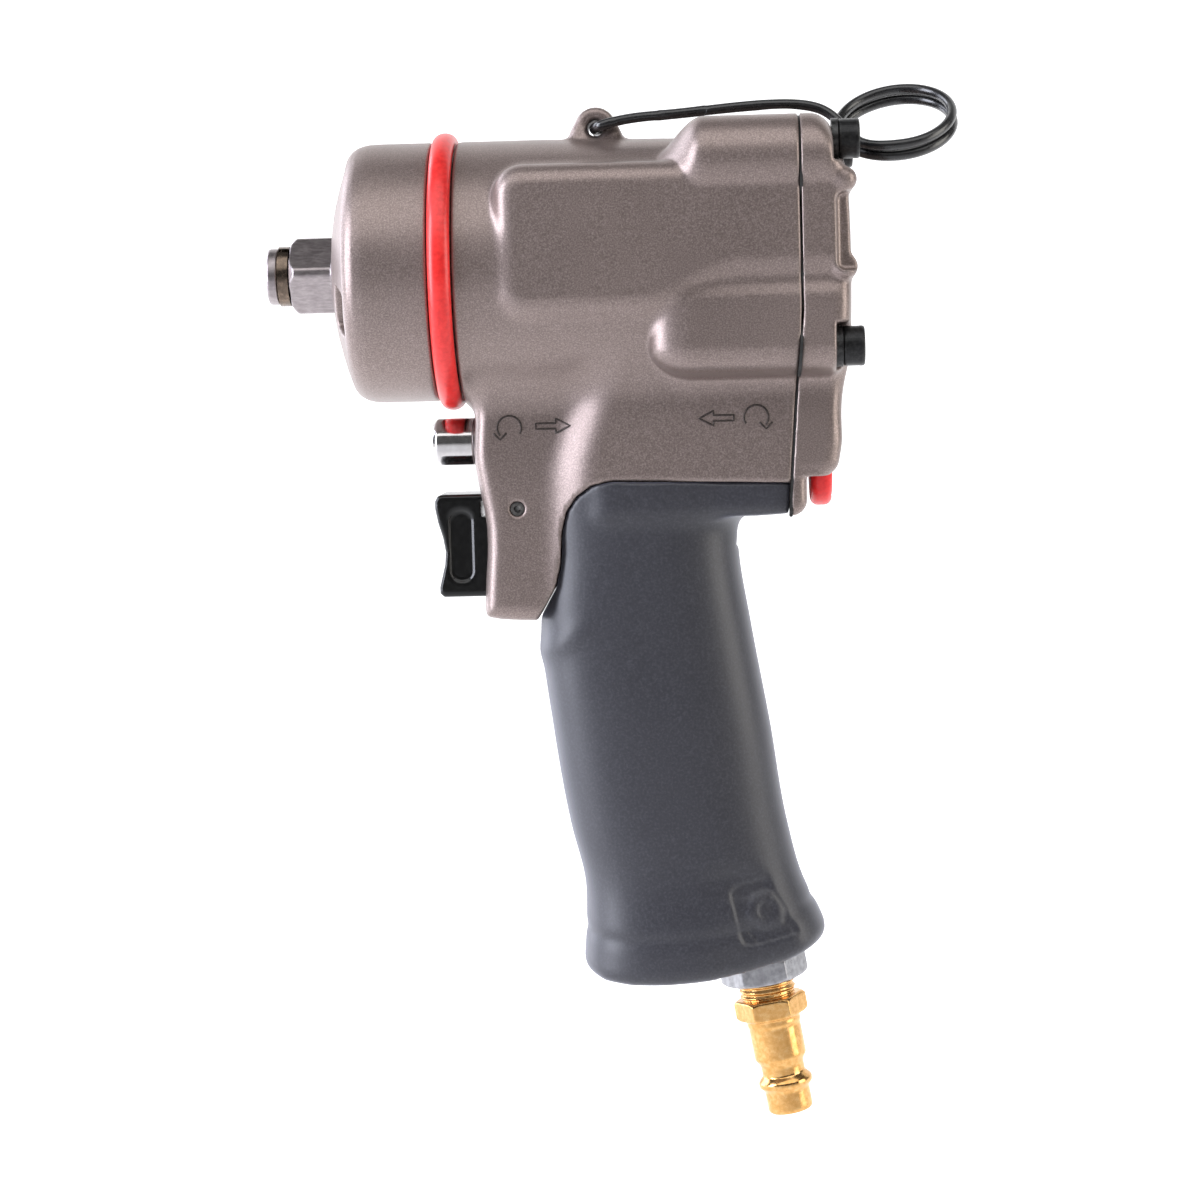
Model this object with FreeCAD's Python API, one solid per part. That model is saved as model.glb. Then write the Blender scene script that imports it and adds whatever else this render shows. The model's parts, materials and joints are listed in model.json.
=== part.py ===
import FreeCAD, Part
import math
import os

# Half-inch air impact wrench, in millimetres.
# X runs along the drive axis to the rear, Z is up, Y is across the tool.
# The origin is the front end of the anvil, on the drive axis.

V = FreeCAD.Vector

# ---- driving dimensions -------------------------------------------------
SQUARE_AF = 12.7          # half-inch square drive, across flats
SQUARE_CORNERS = 16.5     # across the chamfered corners
TIP_R = 6.1               # round front end of the anvil
SQUARE_X0 = 5.0           # square drive, front and rear ends
SQUARE_X1 = 14.6
JOURNAL_R = 8.7           # anvil journal in the nose bushing
BUSH_R = 10.4             # outside of the anvil bushing
COLLAR_R = 11.4           # anvil thrust collar, also carries the hammer cage
CASE_R = 28.0             # hammer case and front of the barrel
CASE_X1 = 37.0            # rear shoulder of the hammer case
SPIGOT_R = 25.0           # hammer case spigot inside the motor housing
SPIGOT_X1 = 50.0
BUMPER_X = 39.6           # bumper ring, centre
BUMPER_R = 30.0
BUMPER_W = 4.8
BODY_X0 = 42.2            # motor housing barrel
BODY_X1 = 115.3
BODY_R1 = 27.0            # barrel radius at the rear cover
MOTOR_R = 22.6            # bore for the motor
CAGE_R = 22.4             # hammer cage
CAGE_X0, CAGE_X1 = 31.0, 60.0
HAMMER_PIN_R = 3.2
HAMMER_PIN_Z = 16.2
DOG_SPANS = ((36.0, 45.2), (46.2, 55.4))
PLATE_F = (63.2, 71.0)    # front end plate of the motor
PLATE_R = (104.4, 112.4)  # rear end plate
ROTOR_R = 17.3
LINER_BORE_R = 19.0
LINER_OFFSET = 1.5        # the bore's offset from the rotor axis
VANES = 6
BEARING_OR, BEARING_IR, BEARING_W = 11.0, 5.0, 6.0
FRONT_BEARING_X, REAR_BEARING_X = 64.2, 105.4
BALL_R, BALL_PITCH_R, BALLS = 1.9, 8.0, 8
BOLTS = ((16.0, 25.4), (22.0, -18.2))   # cover screws, |Y| and Z
BOLT_HEAD_R = 4.25
BOLT_HEAD_X = (123.8, 128.4)
LUG_X, LUG_Z, LUG_R, EYE_R = 72.3, 29.9, 4.5, 1.75
WIRE_R = 1.15
SPOOL_Z = -37.0           # reverse spool axis
SPOOL_R = 5.25
SPOOL_BORE_R = 5.32
SPOOL_X0 = 34.5
PADDLE_X = (117.0, 122.0) # reverse paddle on the spool's rear end
STEM_Z = -60.5            # trigger stem axis
ROLL_PIN = (53.6, -51.4)      # X and Z of the trigger's roll pin
ROLL_PIN_R = 1.45
RUBBER = 3.0              # wall of the grip sleeve
INLET = V(103.9, 0, -151.2)     # the air inlet leaves the handle here
LEAN = math.radians(9.8)        # lean of the inlet from the vertical
INLET_DIR = V(math.sin(LEAN), 0, -math.cos(LEAN))

os.makedirs("parts", exist_ok=True)


# ---- helpers ------------------------------------------------------------
def save(node, shape):
    """Write one node as a STEP file."""
    shape.exportStep("parts/%s.step" % node)
    print(node, len(shape.Solids), round(shape.Volume, 2), shape.isValid())


def rod(r, x0, x1, y=0.0, z=0.0):
    """A cylinder along X."""
    return Part.makeCylinder(r, x1 - x0, V(x0, y, z), V(1, 0, 0))


def tube(ro, ri, x0, x1, y=0.0, z=0.0):
    """A tube along X."""
    return rod(ro, x0, x1, y, z).cut(rod(ri, x0 - 1, x1 + 1, y, z))


def block(x0, x1, y0, y1, z0, z1):
    """A box between opposite corners."""
    return Part.makeBox(x1 - x0, y1 - y0, z1 - z0, V(x0, y0, z0))


def turned(profile, z=0.0):
    """A solid turned about an X axis at height z from (x, radius) points."""
    points = [V(x, 0, z + r) for x, r in profile]
    face = Part.Face(Part.makePolygon(points + points[:1]))
    return face.revolve(V(0, 0, z), V(1, 0, 0), 360)


def prism(outline, y0, y1):
    """An XZ outline pushed across the tool from y0 to y1."""
    points = [V(x, y0, z) for x, z in outline]
    face = Part.Face(Part.makePolygon(points + points[:1]))
    return face.extrude(V(0, y1 - y0, 0))


def ring(r_major, r_minor, x, y=0.0, z=0.0):
    """A torus about an X axis."""
    return Part.makeTorus(r_major, r_minor, V(x, y, z), V(1, 0, 0))


def merged(shapes):
    """Fuse a list of shapes into one."""
    return shapes[0].multiFuse(shapes[1:]).removeSplitter()


def round_rims(solid, half, radius):
    """Round the edges of a prism's two side faces, at Y = -half and half."""
    rims = []
    for edge in solid.Edges:
        box = edge.BoundBox
        if box.YMax - box.YMin < 1e-6 and abs(abs(box.YMin) - half) < 1e-6:
            rims.append(edge)
    return solid.makeFillet(radius, rims)


def down_inlet(r, s0, s1):
    """A cylinder on the inlet axis, from s0 to s1 below the handle's base."""
    return Part.makeCylinder(r, s1 - s0, INLET + INLET_DIR * s0, INLET_DIR)


def turned_inlet(profile):
    """A solid turned about the inlet axis from (s, radius) points."""
    across = V(math.cos(LEAN), 0, math.sin(LEAN))
    points = [INLET + INLET_DIR * s + across * r for s, r in profile]
    face = Part.Face(Part.makePolygon(points + points[:1]))
    return face.revolve(INLET, INLET_DIR, 360)


def hex_inlet(across_flats, s0, s1, turn=30):
    """A hexagonal bar on the inlet axis."""
    corner = across_flats / math.sqrt(3)
    points = []
    for k in range(7):
        a = math.radians(60 * k + turn)
        points.append(V(corner * math.cos(a), corner * math.sin(a), 0))
    bar = Part.Face(Part.makePolygon(points)).extrude(V(0, 0, s1 - s0))
    bar.rotate(V(0, 0, 0), V(0, 1, 0), 180 - math.degrees(LEAN))
    bar.translate(INLET + INLET_DIR * s0)
    return bar


def oval(x0, x1, half, z, power=2.7):
    """A closed rounded outline at height z, from x0 to x1 and half wide."""
    points = []
    for k in range(16):
        a = math.radians(360.0 * k / 16)
        c, s = math.cos(a), math.sin(a)
        px = math.copysign(abs(c) ** (2 / power), c) * (x1 - x0) / 2
        py = math.copysign(abs(s) ** (2 / power), s) * half
        points.append(V((x0 + x1) / 2 + px, py, z))
    curve = Part.BSplineCurve()
    curve.interpolate(Points=points, PeriodicFlag=True)
    return Part.Wire(curve.toShape())


# ---- anvil --------------------------------------------------------------
def make_anvil():
    round_parts = turned([
        (0.0, 0.0), (0.0, TIP_R - 0.5), (0.5, TIP_R), (2.3, TIP_R), (2.3, 4.0),
        (SQUARE_X0, 4.0), (SQUARE_X0, 6.0), (SQUARE_X1, 6.0), (SQUARE_X1, JOURNAL_R),
        (30.05, JOURNAL_R), (30.05, COLLAR_R), (35.5, COLLAR_R), (35.5, 7.4),
        (55.5, 7.4), (55.5, 0.0)])
    square = block(SQUARE_X0, SQUARE_X1, -SQUARE_AF / 2, SQUARE_AF / 2, -SQUARE_AF / 2, SQUARE_AF / 2)
    corners = SQUARE_CORNERS / 2
    square = square.common(turned([
        (SQUARE_X0, 0), (SQUARE_X0, 6.6), (SQUARE_X0 + 1.6, corners), (SQUARE_X1, corners), (SQUARE_X1, 0)]))
    square.rotate(V(0, 0, 0), V(1, 0, 0), 41)
    wings = []
    for (x0, x1), turn in zip(DOG_SPANS, (0, 180)):
        wing = block(x0, x1, 0, 10.8, -3.2, 3.2).common(rod(10.8, x0, x1))
        wing.rotate(V(0, 0, 0), V(1, 0, 0), turn)
        wings.append(wing)
    return merged([round_parts, square] + wings)


save("anvil", make_anvil())

slit = block(2, 5.2, -0.75, 0.75, 0, 8)
slit.rotate(V(0, 0, 0), V(1, 0, 0), 30)
save("socket_retaining_ring", tube(6.5, 5.5, 2.5, 4.8).cut(slit))
save("retaining_o_ring", ring(4.73, 0.7, 3.65))

# ---- hammer case, bumper ring and anvil bushing --------------------------
case = turned([
    (14.4, 9.1), (14.4, 10.0), (15.2, 12.0), (16.6, 18.6), (17.9, 22.4), (19.3, 25.2), (21.0, 27.2),
    (23.0, CASE_R),
    (CASE_X1 - 0.4, CASE_R), (CASE_X1, CASE_R - 0.4), (CASE_X1, 26.2), (BODY_X0, 26.2),
    (BODY_X0, SPIGOT_R), (SPIGOT_X1, SPIGOT_R), (SPIGOT_X1, 23.2), (29.0, 23.2),
    (26.0, 20.0), (26.0, 14.0), (30.0, 14.0), (30.0, BUSH_R), (16.0, BUSH_R), (16.0, 9.1)])
pockets = []
for k in range(4):
    pocket = Part.makeCylinder(2.6, 8.0, V(16.7, -4.0, 21.4), V(0, 1, 0))
    pocket = pocket.multiFuse([Part.makeSphere(2.6, V(16.7, y, 21.4)) for y in (-4.0, 4.0)])
    pocket.rotate(V(0, 0, 0), V(1, 0, 0), 90 * k + 22)
    pockets.append(pocket)
save("hammer_case", case.cut(pockets[0].multiFuse(pockets[1:])))
save("anvil_bushing", tube(BUSH_R, JOURNAL_R + 0.05, 16.0, 30.0))

bumper = turned([
    (BUMPER_X - 2.4, 26.25), (BUMPER_X - 2.4, 28.6), (BUMPER_X - 1.4, 29.7), (BUMPER_X, BUMPER_R),
    (BUMPER_X + 1.4, 29.7), (BUMPER_X + 2.4, 28.6), (BUMPER_X + 2.4, 26.25)])
save("bumper_ring", bumper)


# ---- twin-hammer mechanism ----------------------------------------------
def spline(outer, inner, x0, x1):
    """A six-lobed drive shape along X."""
    shape = rod(inner, x0, x1)
    lobes = []
    for k in range(6):
        lobe = block(x0, x1, -1.5, 1.5, 0, outer)
        lobe.rotate(V(0, 0, 0), V(1, 0, 0), 60 * k)
        lobes.append(lobe)
    return merged([shape] + lobes)


def make_cage():
    front = rod(CAGE_R, CAGE_X0, CAGE_X0 + 4).cut(rod(COLLAR_R + 0.06, 0, 50))
    rear = rod(CAGE_R, CAGE_X1 - 4, CAGE_X1).cut(spline(6.6, 5.1, 50, 70))
    web_ring = rod(CAGE_R, CAGE_X0 + 4, CAGE_X1 - 4)
    webs = []
    for side in (-1, 1):
        y0, y1 = sorted((side * 17.4, side * 23))
        webs.append(web_ring.common(block(CAGE_X0 + 4, CAGE_X1 - 4, y0, y1, -12, 12)))
    cage = merged([front, rear] + webs)
    for z in (-HAMMER_PIN_Z, HAMMER_PIN_Z):
        cage = cage.cut(rod(HAMMER_PIN_R, CAGE_X0 - 1, CAGE_X1 + 1, 0, z))
    return cage


def make_dog(x0, x1, turn):
    """A hammer dog: a ring round the anvil that rocks on its pin."""
    body = rod(19.5, x0, x1).common(block(x0, x1, -14.5, 14.5, -20, 20))
    body = body.cut(rod(12.6, x0 - 1, x1 + 1))
    jaw = block(x0, x1, -13.2, -9.3, -4.5, 4.5)
    body = merged([body, jaw])
    body = body.cut(rod(HAMMER_PIN_R + 0.05, x0 - 1, x1 + 1, 0, HAMMER_PIN_Z))
    body = body.cut(rod(5.8, x0 - 1, x1 + 1, 0, -HAMMER_PIN_Z))
    body = body.cut(block(x0 - 1, x1 + 1, -5.8, 5.8, -25, -HAMMER_PIN_Z))
    body.rotate(V(0, 0, 0), V(1, 0, 0), turn)
    return body


save("hammer_cage", make_cage())
save("hammer_dog_front", make_dog(*DOG_SPANS[0], 0))
save("hammer_dog_rear", make_dog(*DOG_SPANS[1], 180))
pins = [rod(HAMMER_PIN_R, CAGE_X0 + 0.5, CAGE_X1 - 0.5, 0, z) for z in (-HAMMER_PIN_Z, HAMMER_PIN_Z)]
save("hammer_pins", Part.makeCompound(pins))


# ---- air motor ----------------------------------------------------------
def make_rotor():
    rotor = turned([
        (56.2, 0), (56.2, 4.9), (62.0, 4.9), (62.0, BEARING_IR), (PLATE_F[1] + 0.1, BEARING_IR),
        (PLATE_F[1] + 0.1, ROTOR_R), (PLATE_R[0] - 0.1, ROTOR_R), (PLATE_R[0] - 0.1, BEARING_IR),
        (112.0, BEARING_IR), (112.0, 0)])
    rotor = merged([rotor, spline(6.5, 5.0, 56.2, 61.5)])
    for k in range(VANES):
        slot = block(60, 112, -1.02, 1.02, 9.0, 20)
        slot = slot.common(rod(20, PLATE_F[1], PLATE_R[0]))
        slot.rotate(V(0, 0, 0), V(1, 0, 0), 360.0 / VANES * k)
        rotor = rotor.cut(slot)
    return rotor


save("rotor", make_rotor())
vanes = []
for k in range(VANES):
    vane = block(PLATE_F[1] + 0.15, PLATE_R[0] - 0.15, -1.0, 1.0, 9.1, 17.1)
    vane.rotate(V(0, 0, 0), V(1, 0, 0), 360.0 / VANES * k)
    vanes.append(vane)
save("rotor_vanes", Part.makeCompound(vanes))

liner = rod(22.5, PLATE_F[1], PLATE_R[0]).cut(rod(LINER_BORE_R, 60, 112, 0, LINER_OFFSET))
for x in (78, 88, 98):
    liner = liner.cut(Part.makeCylinder(1.6, 12, V(x, 0, -24), V(0, 0, 1)))
liner = liner.cut(rod(1.25, 60, 112, 0, -20.3))
save("cylinder_liner", liner)


def make_end_plate(x0, x1, bearing_x0):
    plate = rod(22.5, x0, x1).cut(rod(BEARING_OR, bearing_x0, bearing_x0 + BEARING_W))
    plate = plate.cut(rod(7.0, x0 - 1, x1 + 1))
    opened = rod(BEARING_OR, x0 - 1, bearing_x0 + 1) if x0 < 80 else rod(BEARING_OR, bearing_x0, x1 + 1)
    plate = plate.cut(opened)
    return plate.cut(rod(1.25, x0 - 1, x1 + 1, 0, -20.3))


save("front_end_plate", make_end_plate(*PLATE_F, FRONT_BEARING_X))
save("rear_end_plate", make_end_plate(*PLATE_R, REAR_BEARING_X))
save("cylinder_dowel", rod(1.25, PLATE_F[0] + 1, PLATE_R[1] - 1, 0, -20.3))

for name, x0 in (("front", FRONT_BEARING_X), ("rear", REAR_BEARING_X)):
    mid = x0 + BEARING_W / 2
    race = ring(BALL_PITCH_R, BALL_R + 0.05, mid)
    save("%s_bearing_outer" % name, tube(BEARING_OR, 9.2, x0, x0 + BEARING_W).cut(race))
    save("%s_bearing_inner" % name, tube(6.8, BEARING_IR, x0, x0 + BEARING_W).cut(race))
    balls = []
    for k in range(BALLS):
        a = math.radians(360.0 / BALLS * k)
        centre = V(mid, BALL_PITCH_R * math.cos(a), BALL_PITCH_R * math.sin(a))
        balls.append(Part.makeSphere(BALL_R, centre))
    save("%s_bearing_balls" % name, Part.makeCompound(balls))

# ---- handle form, shared by the housing and the grip ---------------------
# Stations down the handle: z, front x, rear x, half width.
HANDLE = (
    (-44.0, 58.2, 101.6, 17.0), (-62.0, 58.8, 101.2, 16.5), (-78.0, 57.5, 103.5, 16.5),
    (-100.0, 59.6, 107.2, 16.8), (-122.0, 63.0, 110.5, 17.0), (-134.0, 65.7, 113.5, 17.3),
    (-145.0, 65.6, 118.4, 18.8), (-160.0, 64.2, 119.6, 19.2))


def handle_form(inset):
    """The lofted handle, drawn in by the inset."""
    wires = [oval(x0 + inset, x1 - inset, half - inset, z) for z, x0, x1, half in HANDLE]
    return Part.makeLoft(wires, True, False)


# Rubber's side outline: front, top, rear tang and the sloped base.
GRIP_OUTLINE = [
    (57.3, -75.9), (61.4, -68.7), (62.7, -63.6), (63.2, -56.6), (64.3, -52.3), (66.5, -49.1),
    (69.9, -46.6), (74.2, -45.8), (93.2, -46.4), (112.4, -47.0), (112.0, -53.7), (106.2, -54.2),
    (103.3, -55.3), (101.3, -57.5), (100.8, -61.0), (127.0, -61.0), (127.0, -145.4),
    (118.0, -147.4), (109.0, -151.2), (101.5, -153.2), (92.6, -154.5), (76.0, -155.4),
    (68.4, -155.0), (64.6, -151.9), (50.0, -149.4), (50.0, -75.9)]
TANG_OUTLINE = [
    (80.0, -45.9), (93.2, -46.4), (112.4, -47.0), (112.0, -53.7), (106.2, -54.2),
    (103.3, -55.3), (101.3, -57.5), (100.4, -61.0), (80.0, -61.0)]


# ---- motor housing ------------------------------------------------------
def boss(y, z, x0, x1, r):
    """A bolt boss joined to the barrel by a rib towards the axis."""
    reach = math.hypot(y, z)
    rib = block(x0 + 2, x1, -r * 0.9, r * 0.9, 15, reach)
    rib.rotate(V(0, 0, 0), V(1, 0, 0), -math.degrees(math.atan2(y, z)))
    return rod(r, x0 + 2, x1, y, z).fuse(Part.makeSphere(r, V(x0 + r * 0.6, y, z))).fuse(rib)


SHOULDER = (18.6, 19.8)  # centre of the rounded shoulder over each upper bolt, Y and Z
SHOULDER_R = 10.5
NECK_FRONT = [
    (46.0, -20.0), (44.3, -39.0), (46.8, -57.0), (45.8, -74.7), (57.3, -75.9), (62.8, -63.4),
    (66.0, -60.0), (66.0, -20.0)]
NECK_REAR = [
    (60.0, -18.0), (60.0, -52.0), (66.0, -60.0), (91.0, -60.0), (94.0, -54.2), (117.0, -54.2), (120.0, -18.0)]
PARTING = [(BODY_X1, 60.0), (BODY_X1, -10.0), (112.4, -48.0), (111.2, -70.0), (160.0, -70.0), (160.0, 60.0)]


def make_housing():
    barrel = turned([
        (BODY_X0, 0), (BODY_X0, CASE_R - 0.4), (BODY_X0 + 0.4, CASE_R), (62.0, CASE_R),
        (120.0, BODY_R1), (120.0, 0)])
    solids = [barrel]
    for side in (-1, 1):
        solids.append(boss(side * BOLTS[0][0], BOLTS[0][1], 90.0, 120.0, 4.9))
        solids.append(boss(side * BOLTS[1][0], BOLTS[1][1], 86.0, 120.0, 6.2))
        solids.append(rod(SHOULDER_R, 90.0, 120.0, side * SHOULDER[0], SHOULDER[1]))
        ramp_end = V(80.0, side * SHOULDER[0], SHOULDER[1])
        solids.append(Part.makeCone(0.8, SHOULDER_R, 10.0, ramp_end, V(1, 0, 0)))
        panel = block(51.0, 120.0, 17.0, 28.4, -8.2, 19.6)
        panel = panel.makeChamfer(4.2, [e for e in panel.Edges if e.BoundBox.YMin > 28])
        if side < 0:
            panel = panel.mirror(V(0, 0, 0), V(0, 1, 0))
        solids.append(panel)
    solids.append(round_rims(prism(NECK_FRONT, -12.2, 12.2), 12.2, 3.0))
    solids.append(round_rims(prism(NECK_REAR, -17.0, 17.0), 17.0, 3.0))
    lug = Part.makeCylinder(LUG_R, 11, V(LUG_X, -5.5, LUG_Z), V(0, 1, 0))
    foot = prism([
        (LUG_X - 6.5, 24.0), (LUG_X - 4.9, 27.2), (LUG_X - 4.1, 30.6), (LUG_X + 4.1, 30.6),
        (LUG_X + 4.9, 27.2), (LUG_X + 6.5, 24.0)], -5.5, 5.5)
    solids += [lug, foot]
    body = merged(solids)
    skin = prism(GRIP_OUTLINE, -30, 30).cut(block(67.0, 97.5, -13.4, 13.4, -63.0, -45.0))
    body = body.cut(skin.cut(block(91.0, 109.5, -11.8, 11.8, -51.6, -45.0)))
    base = prism([
        (40.0, -40.0), (40.0, -148.9), (64.0, -154.0), (76.0, -154.8), (92.6, -153.9),
        (101.5, -152.6), (109.0, -150.6), (118.0, -146.8), (130.0, -144.0), (130.0, -40.0)], -30, 30)
    body = merged([body, handle_form(RUBBER).common(base)])
    cuts = [
        rod(SPIGOT_R + 0.02, BODY_X0 - 1, SPIGOT_X1 + 0.3), rod(23.4, 50, 61.2), rod(19.5, 60, 64),
        rod(MOTOR_R, PLATE_F[0], 120), prism(PARTING, -60, 60),
        Part.makeCylinder(EYE_R, 20, V(LUG_X, -10, LUG_Z), V(0, 1, 0)),
        rod(SPOOL_BORE_R, 40, 125, 0, SPOOL_Z),
        rod(7.0, 50, 89.0, 0, STEM_Z),
        block(40, 58.6, -8.2, 8.2, -70.9, -47.8), block(40, 63.8, -5.0, 5.0, -55.6, -48.1),
        Part.makeCylinder(ROLL_PIN_R, 40, V(ROLL_PIN[0], -20, ROLL_PIN[1]), V(0, 1, 0)),
        down_inlet(7.6, -15.0, 10.0), down_inlet(10.0, -0.95, 12.0), down_inlet(5.0, -93.0, 0.0)]
    for side in (-1, 1):
        for y, z in BOLTS:
            cuts.append(rod(2.5, 94, 122, side * y, z))
    # Exhaust chamber in the front half of the handle and its outlet in the base.
    lower = Part.Wire(Part.makeCircle(9.0, V(78.3, 0, -158), V(0, 0, 1)))
    upper = Part.Wire(Part.makeCircle(6.2, V(72.2, 0, -84), V(0, 0, 1)))
    cuts.append(Part.makeLoft([lower, upper], True, True))
    # Air passages from the throttle to the reverse valve and on to the motor.
    cuts.append(Part.makeCylinder(2.6, 24, V(70, 0, -60), V(0, 0, 1)))
    for x in (78, 88, 98):
        cuts.append(Part.makeCylinder(1.6, 20, V(x, 0, -38), V(0, 0, 1)))
    cuts.append(Part.makeCylinder(1.55, 9.0, V(56.0, 0, -46.0), V(0, 0, 1)))
    for cutter in cuts:
        body = body.cut(cutter)
    return body


housing = make_housing()
save("motor_housing", housing)
save("spool_stop_pin", Part.makeCylinder(1.5, 6.6, V(56.0, 0, -45.9), V(0, 0, 1)))
roll_pin = Part.makeCylinder(ROLL_PIN_R, 23.6, V(ROLL_PIN[0], -11.8, ROLL_PIN[1]), V(0, 1, 0))
roll_pin = roll_pin.cut(Part.makeCylinder(0.75, 40, V(ROLL_PIN[0], -20, ROLL_PIN[1]), V(0, 1, 0)))
save("trigger_roll_pin", roll_pin)

# ---- rear cover, gasket and screws ---------------------------------------
GASKET = 0.6
SEAT_X = 122.4            # cover screws' washers sit here
COVER_OUTLINE = [
    (107.0, 40.0), (122.8, 31.0), (125.2, 24.0), (126.3, 18.0), (126.3, -20.0), (125.2, -27.0),
    (123.7, -38.0), (122.2, -44.6), (120.4, -46.6), (116.4, -54.2), (110.0, -54.2), (107.0, -50.0)]


def shifted(outline, dx):
    """An outline moved along X."""
    return [(x + dx, z) for x, z in outline]


def cover_section(x0, x1, grow=0.0):
    """The outside form that the cover and gasket share with the housing."""
    solids = [rod(BODY_R1 + grow, x0, x1)]
    for side in (-1, 1):
        for (y, z), r in zip(BOLTS, (4.9, 6.2)):
            reach = math.hypot(y, z)
            rib = block(x0, x1, -r * 0.9, r * 0.9, 15, reach)
            rib.rotate(V(0, 0, 0), V(1, 0, 0), -math.degrees(math.atan2(side * y, z)))
            solids += [rod(r, x0, x1, side * y, z), rib]
        solids.append(rod(SHOULDER_R, x0, x1, side * SHOULDER[0], SHOULDER[1]))
    solids.append(block(x0, x1, -17.0, 17.0, -56.0, -14.0))
    return merged(solids)


def make_cover():
    cover = cover_section(110.0, 126.3).common(prism(COVER_OUTLINE, -40, 40))
    cover = cover.common(prism(shifted(PARTING, GASKET), -60, 60))
    cuts = [
        tube(21.0, 9.0, 110, 122.0), rod(BEARING_OR - 3, 110, 120.0),
        block(106, 132, -11.4, 11.4, -58.0, -24.6),
        prism([(121.5, 27.0), (126.5, 20.0), (132.0, 20.0), (132.0, 34.0), (121.5, 34.0)], -9.0, 9.0)]
    for side in (-1, 1):
        for y, z in BOLTS:
            cuts.append(rod(4.9, SEAT_X, 140, side * y, z))
            y0, y1 = sorted((side * y, side * 34))
            cuts.append(block(SEAT_X, 140, y0, y1, z - 4.9, z + 4.9))
            cuts.append(rod(2.6, 100, 140, side * y, z))
        y0, y1 = sorted((side * 17, side * 34))
        cuts.append(block(122.8, 140, y0, y1, -2.4, 13.8))
    for cutter in cuts:
        cover = cover.cut(cutter)
    return cover


save("rear_cover", make_cover())

gasket = cover_section(108.0, 120.0).common(prism(PARTING, -60, 60)).common(prism(COVER_OUTLINE, -40, 40))
gasket = gasket.cut(prism(shifted(PARTING, GASKET), -60, 60))
for cutter in [rod(24.0, 100, 132), block(100, 132, -11.4, 11.4, -58.0, -24.6)]:
    gasket = gasket.cut(cutter)
for side in (-1, 1):
    for y, z in BOLTS:
        gasket = gasket.cut(rod(2.6, 100, 130, side * y, z))
save("cover_gasket", gasket)

screws, washers = [], []
for side in (-1, 1):
    for y, z in BOLTS:
        head = rod(BOLT_HEAD_R, BOLT_HEAD_X[0], BOLT_HEAD_X[1], side * y, z)
        head = head.makeChamfer(0.4, [e for e in head.Edges if e.BoundBox.XMin > BOLT_HEAD_X[1] - 0.1])
        screw = head.fuse(rod(2.5, 95.0, BOLT_HEAD_X[0], side * y, z))
        hexagon = []
        for k in range(7):
            a = math.radians(60 * k)
            hexagon.append(V(BOLT_HEAD_X[1] - 2.6, side * y + 2.31 * math.cos(a), z + 2.31 * math.sin(a)))
        screws.append(screw.cut(Part.Face(Part.makePolygon(hexagon)).extrude(V(4, 0, 0))))
        washers.append(tube(4.35, 2.6, SEAT_X, BOLT_HEAD_X[0], side * y, z))
save("cover_screws", Part.makeCompound(screws))
save("lock_washers", Part.makeCompound(washers))


# ---- reverse spool, button and paddle ------------------------------------
def make_spool():
    spool = rod(SPOOL_R, 44.0, PADDLE_X[0], 0, SPOOL_Z)
    for x0, x1 in ((66.0, 74.0), (79.0, 84.0), (88.0, 95.0)):
        spool = spool.cut(tube(6.5, 3.2, x0, x1, 0, SPOOL_Z))
    for x in (62.0, 98.0):
        spool = spool.cut(tube(6.5, 4.25, x - 0.75, x + 0.75, 0, SPOOL_Z))
    stop_slot = block(45.3, 57.7, -1.6, 1.6, -43.0, -39.2)
    return spool.cut(stop_slot).cut(rod(1.5, 107, 122, 0, SPOOL_Z))


save("reverse_spool", make_spool())
save("spool_o_rings", Part.makeCompound([ring(4.74, 0.45, x, 0, SPOOL_Z) for x in (62.0, 98.0)]))
button = turned([
    (SPOOL_X0, 0), (SPOOL_X0 + 0.15, 2.2), (SPOOL_X0 + 0.7, 4.2), (SPOOL_X0 + 1.6, SPOOL_R),
    (44.0, SPOOL_R), (44.0, 0)], SPOOL_Z)
save("reverse_button", button)

paddle = rod(10.9, PADDLE_X[0], PADDLE_X[1], 0, -41.9).fuse(rod(7.5, PADDLE_X[0], PADDLE_X[1], 0, -34.0))
paddle = paddle.removeSplitter()
paddle = paddle.makeFillet(1.4, [e for e in paddle.Edges if e.BoundBox.XMin > PADDLE_X[1] - 0.01])
paddle = paddle.cut(rod(1.6, 110, 125, 0, SPOOL_Z)).cut(rod(3.0, 119.6, 125, 0, SPOOL_Z))
save("reverse_paddle", paddle)
screw = rod(1.5, 108.0, 119.6, 0, SPOOL_Z).fuse(rod(2.8, 119.6, 121.5, 0, SPOOL_Z))
save("paddle_screw", screw.cut(block(120.8, 123, -0.4, 0.4, -41, -33)))


# ---- trigger and throttle valve -------------------------------------------
TRIGGER_SIDE = [
    (36.7, -48.1), (35.3, -50.8), (36.0, -54.7), (37.5, -60.6), (36.8, -65.8), (35.8, -69.0),
    (37.0, -70.6), (51.4, -70.6), (51.4, -55.4), (56.9, -55.4), (56.9, -48.4), (51.4, -48.1)]


def make_trigger():
    body = prism(TRIGGER_SIDE, -8.0, 8.0)
    arm = block(51.2, 59, -10, 10, -60, -45).cut(block(51.2, 59, -4.8, 4.8, -60, -45))
    body = body.cut(arm)
    slot = prism([(45.4, -53.1), (45.4, -49.7), (55.25, -49.7), (55.25, -53.1)], -10, 10)
    return body.cut(slot).cut(rod(2.0, 45.0, 60, 0, STEM_Z))


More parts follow.
